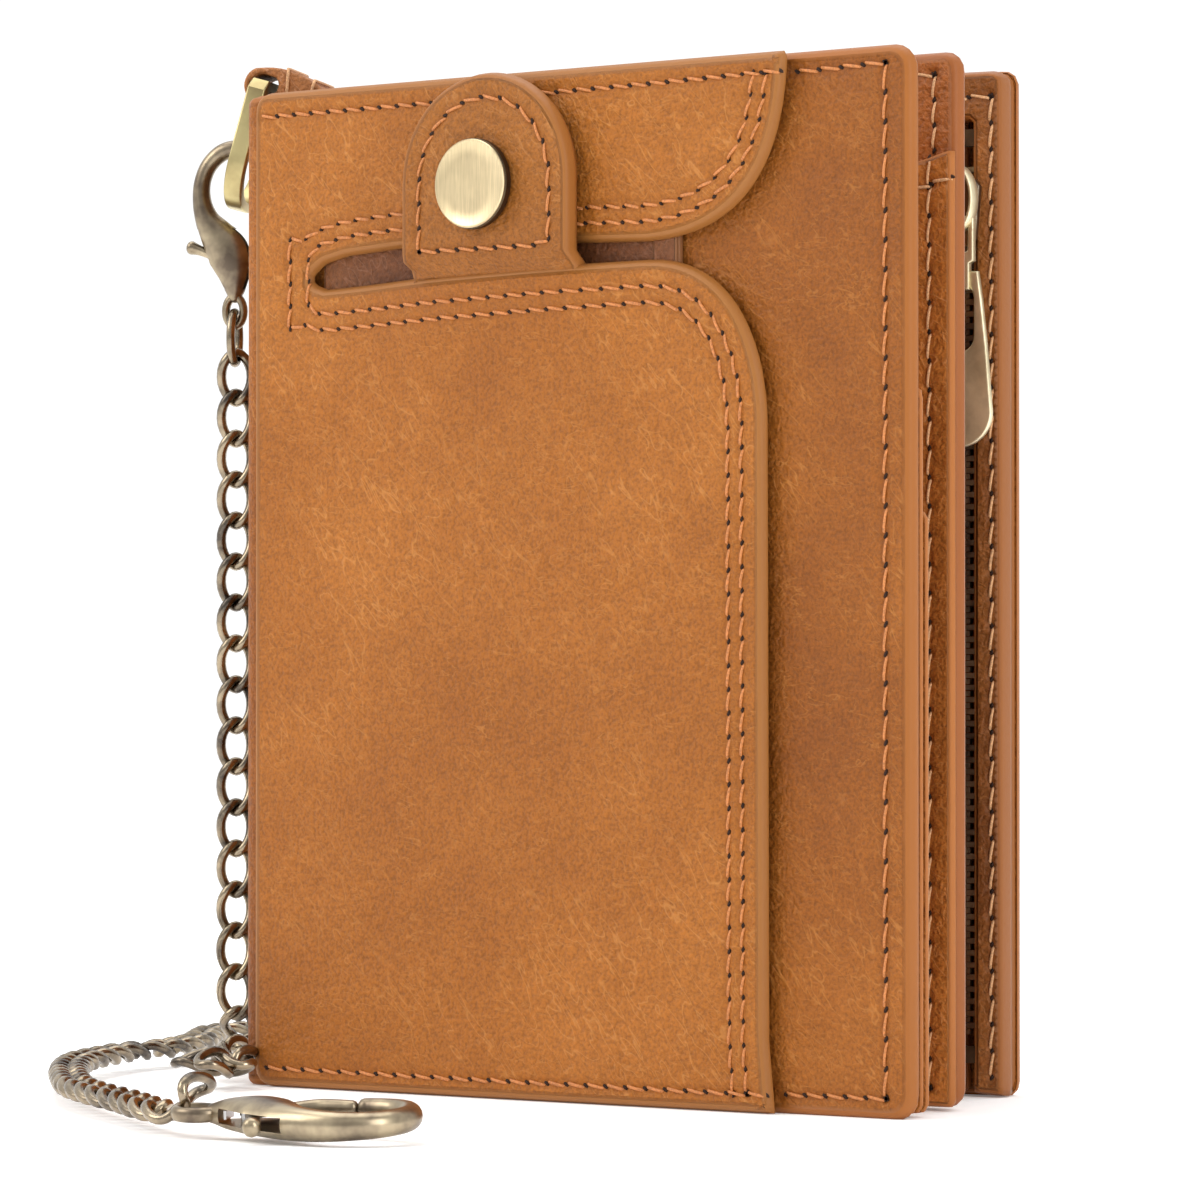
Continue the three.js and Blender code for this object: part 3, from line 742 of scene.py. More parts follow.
def stitches(name, leaf, seams, face, into, body=None, lift=None, radius=0.19):
    """The thread between needle holes, and a pit under each end painted near black as its shade, one mesh for
    each colour.
    """
    holes = Batch()
    threads = {}
    sides = 6
    around = np.linspace(0, 2 * math.pi, sides, endpoint=False)
    thread_faces = tube_faces(len(THREAD_STATIONS), sides)
    for seam in seams:
        batch = threads.setdefault(seam.colour.name, (Batch(), seam.colour))[0]
        for k in range(seam.count + 1):
            index = min(k * POINTS_PER_STITCH, len(seam.points) - 1)
            centre = seam.points[index]
            ahead = seam.points[min(index + 1, len(seam.points) - 1)]
            behind = seam.points[max(index - 1, 0)]
            along = (ahead - behind) / np.linalg.norm(ahead - behind)
            across = np.array([-along[1], along[0]])
            level = face + into * 0.2 + (lift(*centre) if lift else 0)
            # Each hole is a shallow pit painted near black, as the shade inside it.
            oval = []
            long_way = (along * HOLE_SLANT[0] - across * HOLE_SLANT[1]) * HOLE_HALF[0]
            short_way = (along * HOLE_SLANT[1] + across * HOLE_SLANT[0]) * HOLE_HALF[1]
            for angle in np.linspace(0, 2 * math.pi, 8, endpoint=False):
                x, z = centre + long_way * math.cos(angle) + short_way * math.sin(angle)
                oval.append((x, level, z))
            oval.append((centre[0], level + into * 0.25, centre[1]))
            pit = [tuple(range(8))] + [((j + 1) % 8, j, 8) for j in range(8)]
            holes.add(leaf.world(oval), pit if into > 0 else [f[::-1] for f in pit])
            if k == seam.count:
                continue
            end = seam.points[min((k + 1) * POINTS_PER_STITCH, len(seam.points) - 1)]
            span = end - centre
            length = np.linalg.norm(span)
            if length < 0.5:
                continue
            direction = span / length
            normal = np.array([-direction[1], direction[0]])
            first = centre + direction * 0.14 + normal * 0.24
            last = end - direction * 0.14 - normal * 0.24
            body_points = []
            for t, up, width in THREAD_STATIONS:
                middle = first + (last - first) * t
                height = face + into * (0.1 - up) + (lift(*middle) if lift else 0)
                for angle in around:
                    x, z = middle + normal * radius * width * math.cos(angle)
                    y = height - into * radius * width * 0.85 * math.sin(angle)
                    body_points.append((x, y, z))
            faces = thread_faces if into > 0 else [f[::-1] for f in thread_faces]
            batch.add(leaf.world(body_points), faces)
    make(f"{name}_holes", holes.vertices, holes.faces, HOLE_SHADE, body)
    for key, (batch, colour) in threads.items():
        make(f"{name}_{key}", batch.vertices, batch.faces, colour, body)


def sewn(name, stitch_name, leaf, outline, face, back, material, body, rim, seams, pitch=2.2):
    """A sheet of leather with thread in its seams, on its visible face."""
    piece = sheet(name, leaf, outline, face, back, material, body, rim, seams, pitch)
    stitches(stitch_name, leaf, seams, face, 1 if back > face else -1, body)
    return piece


# ---- chain ----
FLOOR_HEIGHT = 2.45
CHAIN_TOP = 89.6
FLOOR_ROUTE = [
    (-10.6, 8.2, 13.4), (-10.7, 8.5, 9), (-11.8, 10.5, 5.2), (-13.7, 14.7, 3.1),
    (-16.5, 20.8), (-19.6, 30.4), (-22.9, 40.5), (-27.4, 49.6), (-34.4, 56.2), (-43.2, 57),
    (-47.2, 50.7), (-44.9, 42.4), (-39.2, 34.2), (-34.1, 26.7), (-30.1, 17.2), (-29, 9.2),
    (-25.8, 0.9), (-20.4, -9.4), (-11.8, -20.5), (-1.5, -31.5), (9.4, -42), (19.5, -49.4),
    (29.4, -55.7), (37.9, -61.7), (46.5, -67),
]
LINK_PITCH = 5.0
# Links in the heap at the foot of the hanging chain: x, y, z, heading and tilt.
PILE = [(-7.4, 3.6, 4.0, -60, 30), (-3.4, 0.0, 3.4, -30, -25), (0.6, -3.4, 3.2, -65, 35),
        (2.6, -7.4, 3.1, -10, -30), (-0.8, -9.4, 3.2, 60, 25), (3.4, -11.2, 3.3, -75, -35),
        (48.0, -65.2, 4.8, -70, 60)]


def chain_route():
    """The chain's centreline in the row frame, in metres, from its top link to the lower clasp."""
    hanging = [TETHER.world([[6.0, 0, z]])[0] for z in np.linspace(CHAIN_TOP, 24, 9)]
    floor = [ROOM.world([[p[0], p[1], p[2] if len(p) > 2 else FLOOR_HEIGHT]])[0] for p in FLOOR_ROUTE]
    return smooth_curve(np.vstack([hanging, floor]), 10)


def curb_link():
    """One twisted link about the origin: the chain runs along x and its flat face is towards z."""
    half_length, half_width, wire = 3.1, 1.85, 0.6
    turns, sides = 28, 8
    twist = math.radians(42)
    angles = np.linspace(0, 2 * math.pi, turns, endpoint=False)
    tilt = twist * np.cos(angles)
    line = np.stack([half_length * np.sign(np.cos(angles)) * np.abs(np.cos(angles)) ** 0.9,
                     half_width * np.sin(angles) * np.cos(tilt),
                     half_width * np.sin(angles) * np.sin(tilt)], 1)
    tangent = tangents(line, closed=True)
    outward = line / np.linalg.norm(line, axis=1, keepdims=True)
    outward -= tangent * (outward * tangent).sum(1, keepdims=True)
    outward /= np.linalg.norm(outward, axis=1, keepdims=True)
    side = np.cross(tangent, outward)
    vertices = []
    for k in range(turns):
        for j in range(sides):
            angle = 2 * math.pi * j / sides
            vertices.append(line[k] + wire * (math.cos(angle) * outward[k] + math.sin(angle) * side[k]))
    return np.array(vertices), tube_faces(turns, sides, closed=True)


def chain():
    route = chain_route()
    along = np.concatenate([[0], np.cumsum(np.linalg.norm(np.diff(route, axis=0), axis=1))])
    count = round(along[-1] / (LINK_PITCH * MM)) - 1
    pitch = (along[-1] - 1.2 * LINK_PITCH * MM) / (count - 1)
    where = 0.6 * LINK_PITCH * MM + np.arange(count) * pitch
    link, faces = curb_link()
    outward = Vector(TOWARDS_CAMERA)
    batch = Batch()
    for s in where:
        centre = np.array([np.interp(s, along, route[:, k]) for k in range(3)])
        ahead = np.array([np.interp(s + 0.0022, along, route[:, k]) for k in range(3)])
        behind = np.array([np.interp(s - 0.0022, along, route[:, k]) for k in range(3)])
        x_axis = Vector(ahead - behind).normalized()
        upright = min(1.0, max(0.0, (centre[2] / MM - 4.0) / 8.0))
        face = outward * upright + Vector((0, 0, 1)) * (1 - upright)
        y_axis = face.cross(x_axis).normalized()
        z_axis = x_axis.cross(y_axis)
        basis = np.array([x_axis, y_axis, z_axis])
        batch.add(centre + (link * MM) @ basis, faces)
    links = make("chain_links", batch.vertices, batch.faces, GUNMETAL)
    TETHER.point(6, 0, 11)
    TETHER.point(6, 0, 17)
    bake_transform(links)
    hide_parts("chain_hanging", "chain_on_surface")


def heap():
    link, faces = curb_link()
    batch = Batch()
    for x, y, z, heading, tip in PILE:
        x_axis = np.array([math.cos(math.radians(heading)), math.sin(math.radians(heading)), 0])
        tilt = math.radians(tip)
        across = np.array([-x_axis[1], x_axis[0], 0])
        y_axis = across * math.cos(tilt) + np.array([0, 0, 1]) * math.sin(tilt)
        basis = np.array([x_axis, y_axis, np.cross(x_axis, y_axis)])
        batch.add(ROOM.world([(x, y, z)])[0] + (link * MM) @ basis, faces)
    make("chain_heap", batch.vertices, batch.faces, GUNMETAL, "spine")


camera()
chain()
heap()


# ---- front cover ----
OVERLAY_FACE = -2.4
OVERLAY_BACK = -1.15
OVERLAY_START = 1.5


def slot_upper_edge():
    """The edge of the overlay above the slot, from its tip to the cover's top."""
    return ([(10.4, 97.9), (12.2, 99.2), (16, 100.0), (24, 100.5), (36, 100.5), (50, 99.9), (61, 99.6)]
            + bezier((61, 99.6), (71.5, 99.8), (80.0, 104.5), (80.4, COVER_HEIGHT))[1:])


def slot_lower_edge():
    """The edge of the overlay below the slot, from the surface up and back to the slot's tip."""
    return ([(78.6, 0.2), (77.8, 8), (77.6, 79)]
            + bezier((77.6, 79), (77, 90), (71, 97.3), (61, 97.2))[1:]
            + [(45, 96.9), (30, 96.5), (12.4, 95.8), (10.6, 96.5)])


def offset(path, distance):
    """The path moved to its left by a distance."""
    path, _ = resampled(path, 1.2)
    return path + left_of(tangents(path)) * distance


def pocket_swell(x, z):
    """The overlay stands out a little over the mouth of the sleeve that holds the tab."""
    mouth = np.exp(-(((x - 40) / 17) ** 4)) * np.exp(-((np.clip(97.5 - z, 0, 40) / 7) ** 2))
    return -1.9 * np.where(z < 98.4, mouth, 0.0)


def front_seams():
    lower = slot_lower_edge()
    upper = slot_upper_edge()
    lowest, highest = 1.3, COVER_HEIGHT - 1.3
    outer_low = [p for p in offset(lower, 2.9) if p[0] > 11.5 and p[1] > lowest]
    inner_low = [p for p in offset(lower, 4.8) if p[0] > 8.5 and p[1] > lowest]
    outer_high = [p for p in offset(upper, 2.1) if p[0] > 11.5 and p[1] < highest]
    inner_high = [p for p in offset(upper, 3.9) if p[0] > 8.5 and p[1] < highest]
    inner_box = [*outer_low, (10.1, 93.2), (10.1, 100.6), *outer_high]
    outer_box = [*inner_low, (7.2, 91.2), (7.2, 102.4), *inner_high]
    top = [(2.4, 117.2), (30, 117.3), (60, 117.5), (80.2, 117.8)]
    bottom = [(3.5, 2.3), (40, 2.2), (78.2, 2.2)]
    return [Seam(outer_box, 2.7), Seam(inner_box, 2.7), Seam(top, 2.7), Seam(bottom, 2.9)]


def fold_lift(u, z):
    """The shell bulges over the front fold, where it goes round the sleeve and its cards."""
    return -1.35 * np.exp(-(((u - 1.0) / 3.0) ** 2))


def mirrored(seams):
    """The seams with x turned round, for pieces that are laid out along the wrap."""
    for seam in seams:
        seam.points = seam.points * np.array([-1, 1])
    return seams


def front_cover():
    edge = 92.9
    seams = [Seam([(80.8, 117.8), (edge, 118.1)], 2.7), Seam([(edge, 118.1), (edge, 2.3)], 3.3),
             Seam([(79.0, 2.2), (edge, 2.3)], 2.9)]
    stitches("cover_stitch", FRONT, seams, 0, 1, "front_cover")
    outline = rounded(-COVER_WIDTH, WRAP.spine_end, 0, COVER_HEIGHT, 0.0, CORNER)
    shell = sheet("front_shell", WRAP, outline, 0, SHELL, SHELL_TAN, None, 0.9, mirrored(seams),
                  lift=fold_lift, fold=(-7, WRAP.spine_end - 3))
    WRAP.point(-3, 0, 60)
    WRAP.point(3, 0, 60)
    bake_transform(shell)
    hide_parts("front_cover_leather", "spine_leather")
    lining = sheet("front_inner", FRONT, rounded(2.6, COVER_WIDTH - 0.9, 0.8, COVER_HEIGHT - 0.8, CORNER),
                   2.6, 1.75, INNER, "front_cover", 0.25)
    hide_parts("front_lining")
    spine = sheet("spine_inner", SPINE, rounded(1.8, 22.4, 0.8, COVER_HEIGHT - 0.8), -2.5, -1.7, INNER,
                  "spine", 0.25)
    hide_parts("spine_lining")
    depth = 3.7
    for index, top in enumerate((96, 82, 68)):
        outline = rounded(8, COVER_WIDTH - 1.5, 0.5, top, 1.0)
        rows = [Seam([(10, top - 2.6), (92.4, top - 2.6)], 3.0)]
        name = f"front_card_slot_{index + 1}"
        slot = sewn(f"{name}_leather", f"{name}_stitch", FRONT, outline, depth, depth - 0.85, INNER,
                    "front_cover", 0.25, rows)
        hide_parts(name)
        depth += 1.1


def overlay():
    seams = front_seams()
    left = OVERLAY_START
    outline = [*slot_lower_edge(), (10.0, 97.2), *slot_upper_edge(),
               *arc((left + 2, COVER_HEIGHT - 2), 2, 90, 180), *arc((left + 2.2, 2.4), 2.2, 180, 270)]
    piece = sheet("front_overlay_leather", FRONT, outline, OVERLAY_FACE, OVERLAY_BACK, TAN, "front_cover",
                  0.8, seams, lift=pocket_swell, bulge=0.12)
    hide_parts("front_overlay")
    stitches("overlay_stitch", FRONT, seams, OVERLAY_FACE, 1, "front_cover", pocket_swell)


def sleeve():
    outline = [(11, 8), (65, 8), (65, 102.5), (11.5, 102.5)]
    piece = sheet("sleeve_leather", FRONT, outline, -1.05, -0.3, DEEP, "front_cover", 0.25)
    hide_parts("card_sleeve")
    sheet("sleeve_hem", FRONT, [(61.4, 90), (64.8, 90), (64.8, 102), (61.4, 102)], -1.4, -1.05,
          DEEP, "front_cover", 0.2)


# ---- snap tab ----
TAB_FACE = -5.9


def tab_lift(x, z):
    """The tab comes forward out of the slot, over the upper overlay's edge."""
    t = np.clip((z - 97.0) / 1.6, 0, 1)
    return (1 - t * t * (3 - 2 * t)) * 2.1


def tab_outline(inset, foot=95.6):
    half = 12.4 - inset
    middle = 39.9
    return [(middle - half, foot), (middle + half, foot)] + arc((middle, 107.4), half, 0, 180, 24)


def tab():
    rim_path = tab_outline(2.7, 99.4)
    seams = [Seam([*rim_path, rim_path[0]], 2.9)]
    piece = sheet("tab_leather_piece", FRONT, tab_outline(0), TAB_FACE, TAB_FACE + 2.1, TAB, None, 0.6, seams,
                  1.6, lift=tab_lift)
    FRONT.point(40, 0, 96.2)
    FRONT.point(40, 0, 99.5)
    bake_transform(piece)
    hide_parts("tab_leather", "tab_lining")
    stitches("tab_stitch", FRONT, seams, TAB_FACE, 1, "snap_tab", tab_lift)


def lathe(name, leaf, centre, profile, material, body, segments=64):
    """A round piece about the leaf's y axis. The profile is radius and y, from end to end."""
    vertices = []
    for radius, y in profile:
        for x, z in arc((centre[0], centre[2]), radius, 0, 360, segments)[:-1]:
            vertices.append((x, centre[1] + y, z))
    faces = tube_faces(len(profile), segments)
    return make(name, leaf.world(vertices), faces, material, body, 35)


def snap():
    centre = (39.2, -6.6, 106.9)
    face = [(5.16, -0.6), (5.2, -0.8), (5.08, -0.93), (4.9, -0.92),
            (4.78, -0.84), (3, -0.86), (0.02, -0.88)]
    cap = lathe("snap_cap_brass", FRONT, centre, face, BRASS, "snap_tab")
    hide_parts("snap_cap")
    # The cap's side is dark metal: painted shade on the side, where it would otherwise reflect the white
    # studio.
    side = [(4.3, 0.7), (5.0, 0.6), (5.3, 0.3), (5.3, -0.5), (5.17, -0.62), (4.2, -0.62)]
    lathe("snap_cap_shaded_side", FRONT, centre, side, DARK_BRASS_AND_SHADE, "snap_tab")


# ---- pieces cut from plate, with rounded edges ----
def cutout(name, outlines, thickness, bevel, place, material, body):
    """A plate with rounded edges. place turns its x, y and depth into the row frame."""
    curve = bpy.data.curves.new(name, "CURVE")
    curve.dimensions = "2D"
    curve.fill_mode = "BOTH"
    curve.extrude = thickness / 2 - bevel
    curve.bevel_depth = bevel
    curve.bevel_resolution = 3
    curve.offset = -bevel
    for outline in outlines:
        spline = curve.splines.new("POLY")
        spline.points.add(len(outline) - 1)
        spline.points.foreach_set("co", [v for x, y in outline for v in (x, y, 0, 1)])
        spline.use_cyclic_u = True
    scratch = bpy.data.objects.new(name, curve)
    bpy.context.scene.collection.objects.link(scratch)
    bpy.context.view_layer.update()
    mesh = bpy.data.meshes.new_from_object(scratch.evaluated_get(bpy.context.evaluated_depsgraph_get()))
    points = np.array([v.co for v in mesh.vertices])
    faces = [tuple(p.vertices) for p in mesh.polygons]
    bpy.data.objects.remove(scratch)
    bpy.data.meshes.remove(mesh)
    piece = make(name, place(points), faces, material, body, 40)
    weld = piece.modifiers.new("weld", "WELD")
    weld.merge_threshold = 1e-6
    return piece


def in_plane(leaf, y):
    """Lays a plate out in the leaf's x and z, about a depth y."""
    return lambda p: leaf.world(np.stack([p[:, 0], y + p[:, 2], p[:, 1]], 1))


def sweep(line, half_width, half_depth, sides=16, closed=False):
    """An oval rod along a line in x and y. The half sizes are in the plane and out of it."""
    line = np.asarray(line, float)
    normal = left_of(tangents(line, closed))
    half_width = np.broadcast_to(half_width, len(line))
    half_depth = np.broadcast_to(half_depth, len(line))
    vertices = []
    for k, (point, n) in enumerate(zip(line, normal)):
        for j in range(sides):
            angle = 2 * math.pi * j / sides
            x, y = point + n * half_width[k] * math.cos(angle)
            vertices.append((x, y, half_depth[k] * math.sin(angle)))
    return np.array(vertices), tube_faces(len(line), sides, closed)


def rod(stations, steps=8, sides=16):
    """A rod through stations of x, y, half width and half depth, with rounded ends."""
    curve = smooth_curve(stations, steps)
    first, last = curve[0], curve[-1]
    head, tail = curve[1, :2] - curve[0, :2], curve[-2, :2] - curve[-1, :2]
    ends = []
    for end, inward in ((first, head), (last, tail)):
        inward = inward / np.linalg.norm(inward)
        cap = []
        for degrees in (75, 50, 25):
            angle = math.radians(degrees)
            place = end[:2] - inward * end[2] * math.sin(angle) * 0.8
            cap.append([*place, end[2] * math.cos(angle), end[3] * math.cos(angle)])
        ends.append(cap)
    curve = np.vstack([ends[0], curve, ends[1][::-1]])
    return sweep(curve[:, :2], curve[:, 2], curve[:, 3], sides)


def minus(piece, *tools):
    """Cuts the tools out of the piece, and removes them."""
    for tool in tools:
        cut = piece.modifiers.new("cut", "BOOLEAN")
        cut.operation = "DIFFERENCE"
        cut.solver = "EXACT"
        cut.object = tool
        bpy.context.view_layer.update()
        depsgraph = bpy.context.evaluated_depsgraph_get()
        result = bpy.data.meshes.new_from_object(piece.evaluated_get(depsgraph))
        piece.modifiers.clear()
        piece.data = result
        bpy.data.objects.remove(tool)
    piece.data.polygons.foreach_set("use_smooth", [True] * len(piece.data.polygons))
    piece.data.set_sharp_from_angle(angle=math.radians(35))
    return piece


def block(name, place, low, high):
    """A plain block, used to cut with."""
    return make(name, place(np.array(box_corners(low, high))), BOX_FACES, ANTIQUE)


# ---- trigger clasps ----
def clasp(prefix, place, body, trigger_body):
    """A clasp along x from its eye to its hook, with its thumb side towards y."""
    stations = [
        (2.6, 0.0, 1.2, 1.2), (4.4, 0.0, 2.2, 1.75), (7.0, 0.3, 3.35, 2.1), (9.6, 1.2, 3.9, 2.2),
        (12.2, 3.2, 3.1, 2.1), (14.8, 5.0, 2.15, 1.95), (17.6, 5.95, 1.65, 1.8), (20.6, 5.95, 1.45, 1.65),
        (23.4, 4.75, 1.4, 1.55), (25.4, 2.4, 1.4, 1.5), (26.0, -0.4, 1.35, 1.45), (25.0, -3.0, 1.25, 1.4),
        (22.6, -4.8, 1.15, 1.3), (19.6, -5.4, 1.05, 1.2), (18.6, -5.4, 1.0, 1.15),
    ]
    vertices, faces = rod(stations, 7, 20)
    shell = make(f"{prefix}_casting", place(vertices), faces, ANTIQUE)
    minus(shell, block(f"{prefix}_slot", place, (3.8, -9, -0.85), (13.4, 9, 0.85)))
    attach(shell, body)
    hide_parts(f"{prefix}_body")
    angles = np.linspace(0, 2 * math.pi, 24, endpoint=False)
    eye = np.stack([0.35 + 2.3 * np.cos(angles), 1.6 * np.sin(angles)], 1)
    vertices, faces = sweep(eye, 0.72, 0.9, 12, closed=True)
    make(f"{prefix}_eye", place(vertices), faces, ANTIQUE, body)
    gate = [(6.4, -0.4, 1.0, 0.62), (8.4, -2.3, 0.95, 0.66), (10.6, -4.3, 0.85, 0.75),
            (12.8, -5.2, 0.85, 0.95), (15.2, -5.25, 0.85, 1.0), (17.3, -5.2, 0.8, 0.95)]
    lever = [(7.4, 0.6, 0.8, 0.6), (9.0, 3.6, 0.75, 0.62), (10.0, 6.2, 0.8, 0.75), (10.5, 7.9, 1.1, 1.15)]
    moving = Batch()
    for stations in (gate, lever):
        vertices, faces = rod(stations, 5, 12)
        moving.add(place(vertices), faces)
    trigger = make(f"{prefix}_gate", moving.vertices, moving.faces, ANTIQUE, trigger_body)
    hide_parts(f"{prefix}_trigger")


# How far the upper clasp and its link hang from the spine's middle.
CHAIN_X = 6.2
LOWER = Leaf((50, -67.5), 17.8)


def upper_place(points):
    x, y, z = np.asarray(points, float).T
    scale = 0.785
    return TETHER.world(np.stack([CHAIN_X + 0.9 * scale * y, scale * z, 94.5 + scale * x], 1))


def lower_place(points):
    scale = 0.95
    x, y, z = np.asarray(points, float).T * scale
    roll = math.radians(186)
    turned_y = y * math.cos(roll) - z * math.sin(roll)
    turned_z = y * math.sin(roll) + z * math.cos(roll)
    return LOWER.world(np.stack([x, turned_y, 2.75 + turned_z], 1))


def connecting_link():
    angles = np.linspace(0, 2 * math.pi, 28, endpoint=False)
    line = np.stack([1.9 * np.cos(angles), 3.15 * np.sin(angles)], 1)
    vertices, faces = sweep(line, 0.55, 0.55, 10, closed=True)
    y, z, x = vertices.T
    places = TETHER.world(np.stack([CHAIN_X + x, y, 91.5 + z], 1))
    link = make("oval_link", places, faces, GUNMETAL, "hanging_chain")
    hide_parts("connecting_link")


# ---- ring and strap at the top of the spine ----
def ring_outline(half, height, corner):
    low = arc((half - corner, -height + corner), corner, 0, -90, 10)
    left = [(-x, y) for x, y in low[::-1]]
    top = [(-half, -1.2), (-half + 1.2, 0), (half - 1.2, 0), (half, -1.2)]
    return low + left + top


def d_ring():
    band = 1.3
    height = 16.3
    outer = [(x, y + band / 2) for x, y in ring_outline(6.3, height, 5.9)]
    inner = [(x, y - band / 2) for x, y in ring_outline(6.3 - band, height - 2 * band, 5.9 - band)]
    lean = math.radians(RING_LEAN)

    def place(p):
        along, depth = p[:, 1], p[:, 2]
        x = EYE[0] - along * math.sin(lean) + depth * math.cos(lean)
        z = EYE[1] + along * math.cos(lean) + depth * math.sin(lean)
        return TETHER.world(np.stack([x, p[:, 0], z], 1))

    ring = cutout("flat_ring", [outer, inner[::-1]], 2.3, 0.22, place, RING_BRASS, "d_ring")
    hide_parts("d_ring")


def strap():
    """Both ends of the strap go down inside the spine, and its fold holds the ring."""
    outer = ([(-5.2, 108), (-5.2, 119.2), (-6.6, 120.9)]
             + bezier((-6.6, 120.9), (-5.6, 122.6), (-2.2, 124.6), (1.2, 124.5), 10)[1:]
             + arc(EYE, 2.3, 70, -100, 14) + [(-0.6, 120.5), (-2.2, 120.2), (-2.8, 118.6), (-2.8, 108)])
    hollow = [(EYE[0] + 1.62 * math.cos(a) - 0.5 * (math.cos(a) < -0.6), EYE[1] + 1.45 * math.sin(a))
              for a in np.linspace(0, 2 * math.pi, 20, endpoint=False)]

    def place(p):
        return TETHER.world(np.stack([p[:, 0], p[:, 2], p[:, 1]], 1))

    loop = cutout("strap_loop", [outer, hollow[::-1]], 9.0, 0.45, place, STRAP, "spine")
    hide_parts("chain_loop_strap")
    wraps = Batch()
    for low, high in (((-1.6, 120.2), (-1.9, 124.2)), ((-4.6, 120.6), (-5.2, 122.7))):
        low, high = np.array(low), np.array(high)
        loop_points = []
        for side in (4.62, -4.62):
            rise = [low + (high - low) * t for t in (0, 0.5, 1)]
            rise = rise if side > 0 else rise[::-1]
            loop_points += [(x, side, z) for x, z in rise]
        closed = np.array(loop_points + loop_points[:1])
        path, _ = resampled(closed, 0.8)
        vertices, faces = tube3d(path, 0.2)
        wraps.add(TETHER.world(vertices), faces)
    make("strap_thread", wraps.vertices, wraps.faces, CREAM, "spine")


def tube3d(path, radius, sides=7):
    """A round tube along points in space."""
    tangent = tangents(path)
    helper = np.array([0.3, 0.9, 0.2])
    side = np.cross(tangent, helper)
    side /= np.linalg.norm(side, axis=1, keepdims=True)
    other = np.cross(tangent, side)
    vertices = []
    for k in range(len(path)):
        for j in range(sides):
            angle = 2 * math.pi * j / sides
            vertices.append(path[k] + radius * (math.cos(angle) * side[k] + math.sin(angle) * other[k]))
    return np.array(vertices), tube_faces(len(path), sides)


# ---- middle page ----
def page_top(x):
    """The front pocket's mouth rises towards the free edge."""
    return 101.0 + 8.4 * (np.asarray(x, float) / PAGE_WIDTH) ** 3


def middle_page():
    edge_row = PAGE_WIDTH - 3.1
    full = rounded(3, PAGE_WIDTH, 0.5, PAGE_HEIGHT, 2.0)
    upper = [Seam([(8, 118.2), (edge_row, 118.2)], 2.9, CREAM),
             Seam([(edge_row, 118.2), (edge_row, 109.5)], 2.9, CREAM)]
    front = sewn("page_front", "page_top_stitch", PAGE, full, -1.8, 0.0, RED, "middle_page", 0.8, upper)
    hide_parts("page_leather_front")
    xs = np.linspace(PAGE_WIDTH, 8, 24)
    pocket = [(8, 0.6), (PAGE_WIDTH - 0.1, 0.6), *[(x - 0.1, float(page_top(x))) for x in xs]]
    rows = [Seam([(edge_row, 108.6), (edge_row, 2.6)], 3.3, CREAM),
            Seam([(8, 2.6), (edge_row, 2.6)], 2.9, CREAM),
            Seam([(x, float(page_top(x)) - 3.1) for x in xs[::-1]], 2.9, CREAM)]
    panel = sewn("page_pocket", "page_stitch", PAGE, pocket, -2.9, -1.85, INNER, "middle_page", 0.4, rows)
    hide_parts("page_card_slot_1")
    low = [(10, 0.7), (89, 0.7), (89, 90.5), (87.5, 92), (10, 92)]
    low_rows = [Seam([(11, 89.4), (87, 89.4)], 2.9, CREAM)]
    second = sewn("page_low_pocket", "page_low_stitch", PAGE, low, -4.0, -3.15, INNER, "middle_page", 0.3,
                  low_rows)
    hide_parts("page_card_slot_2")
    back_rows = [Seam([(8, 118.2), (edge_row - 1, 118.2), (edge_row - 1, 2.6), (8, 2.6)], 3.1, CREAM)]
    inset = rounded(3, PAGE_WIDTH - 1.6, 0.6, PAGE_HEIGHT - 0.3, 2.0)
    rear = sewn("page_rear", "page_rear_stitch", PAGE, inset, 1.8, 0.1, INNER, "middle_page", 0.6, back_rows)
    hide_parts("page_leather_back")
    frame_outer = rounded(16, 84, 10, 100, 3, 3)
    frame_inner = rounded(22, 78, 18, 92, 2, 2)
    window = cutout("window_frame_leather", [frame_outer, frame_inner[::-1]], 0.8, 0.25, in_plane(PAGE, 2.5),
                    DEEP, "middle_page")
    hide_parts("page_window_frame")
    frame_rows = [Seam(rounded(19, 81, 14, 96, 2.5, 2.5), 3.0, CREAM, closed=True)]
    stitches("window_stitch", PAGE, frame_rows, 2.95, -1, "middle_page")


# ---- back cover ----
def back_cover():
    outline = rounded(WRAP.spine_end, WRAP.length, 0, BACK_HEIGHT, BACK_CORNER)
    edge = WRAP.length - 3.3
    seams = [Seam([(WRAP.spine_end + 6, 117.8), (edge, 118.2), (edge, 2.4), (WRAP.spine_end + 6, 2.4)], 3.1)]
    shell = sheet("back_shell", WRAP, outline, 0, SHELL, SHELL_TAN, None, 0.8, seams,
                  fold=(WRAP.spine_end, WRAP.spine_end + 7))
    seam_place = WRAP.point(WRAP.spine_end + 0.5, 0, 60)
    WRAP.point(WRAP.spine_end + 7, 0, 60)
    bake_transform(shell)
    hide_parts("back_cover_leather")
    stitches("back_stitch", WRAP, seams, 0, 1, "back_cover")
    inner = sheet("back_inner", BACK, rounded(4, BACK_WIDTH - 0.3, 0.3, BACK_HEIGHT - 0.2, BACK_CORNER),
                  -2.5, -1.5, STRIP, "back_cover", 0.5)
    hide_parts("back_lining")
    slot_rows = [Seam([(10, 113.4), (86, 113.4)], 2.9, CREAM)]
    shape = rounded(9, BACK_WIDTH - 5.4, 0.5, 116, 0.6)
    slot = sewn("back_slot_leather", "back_slot_stitch", BACK, shape, -3.6, -2.8, RED, "back_cover", 0.3,
                slot_rows)
    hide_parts("back_card_slot")


ZIP_X = 91.2
ZIP_DEPTH = -5.3
SLIDER_TOP = 108.0


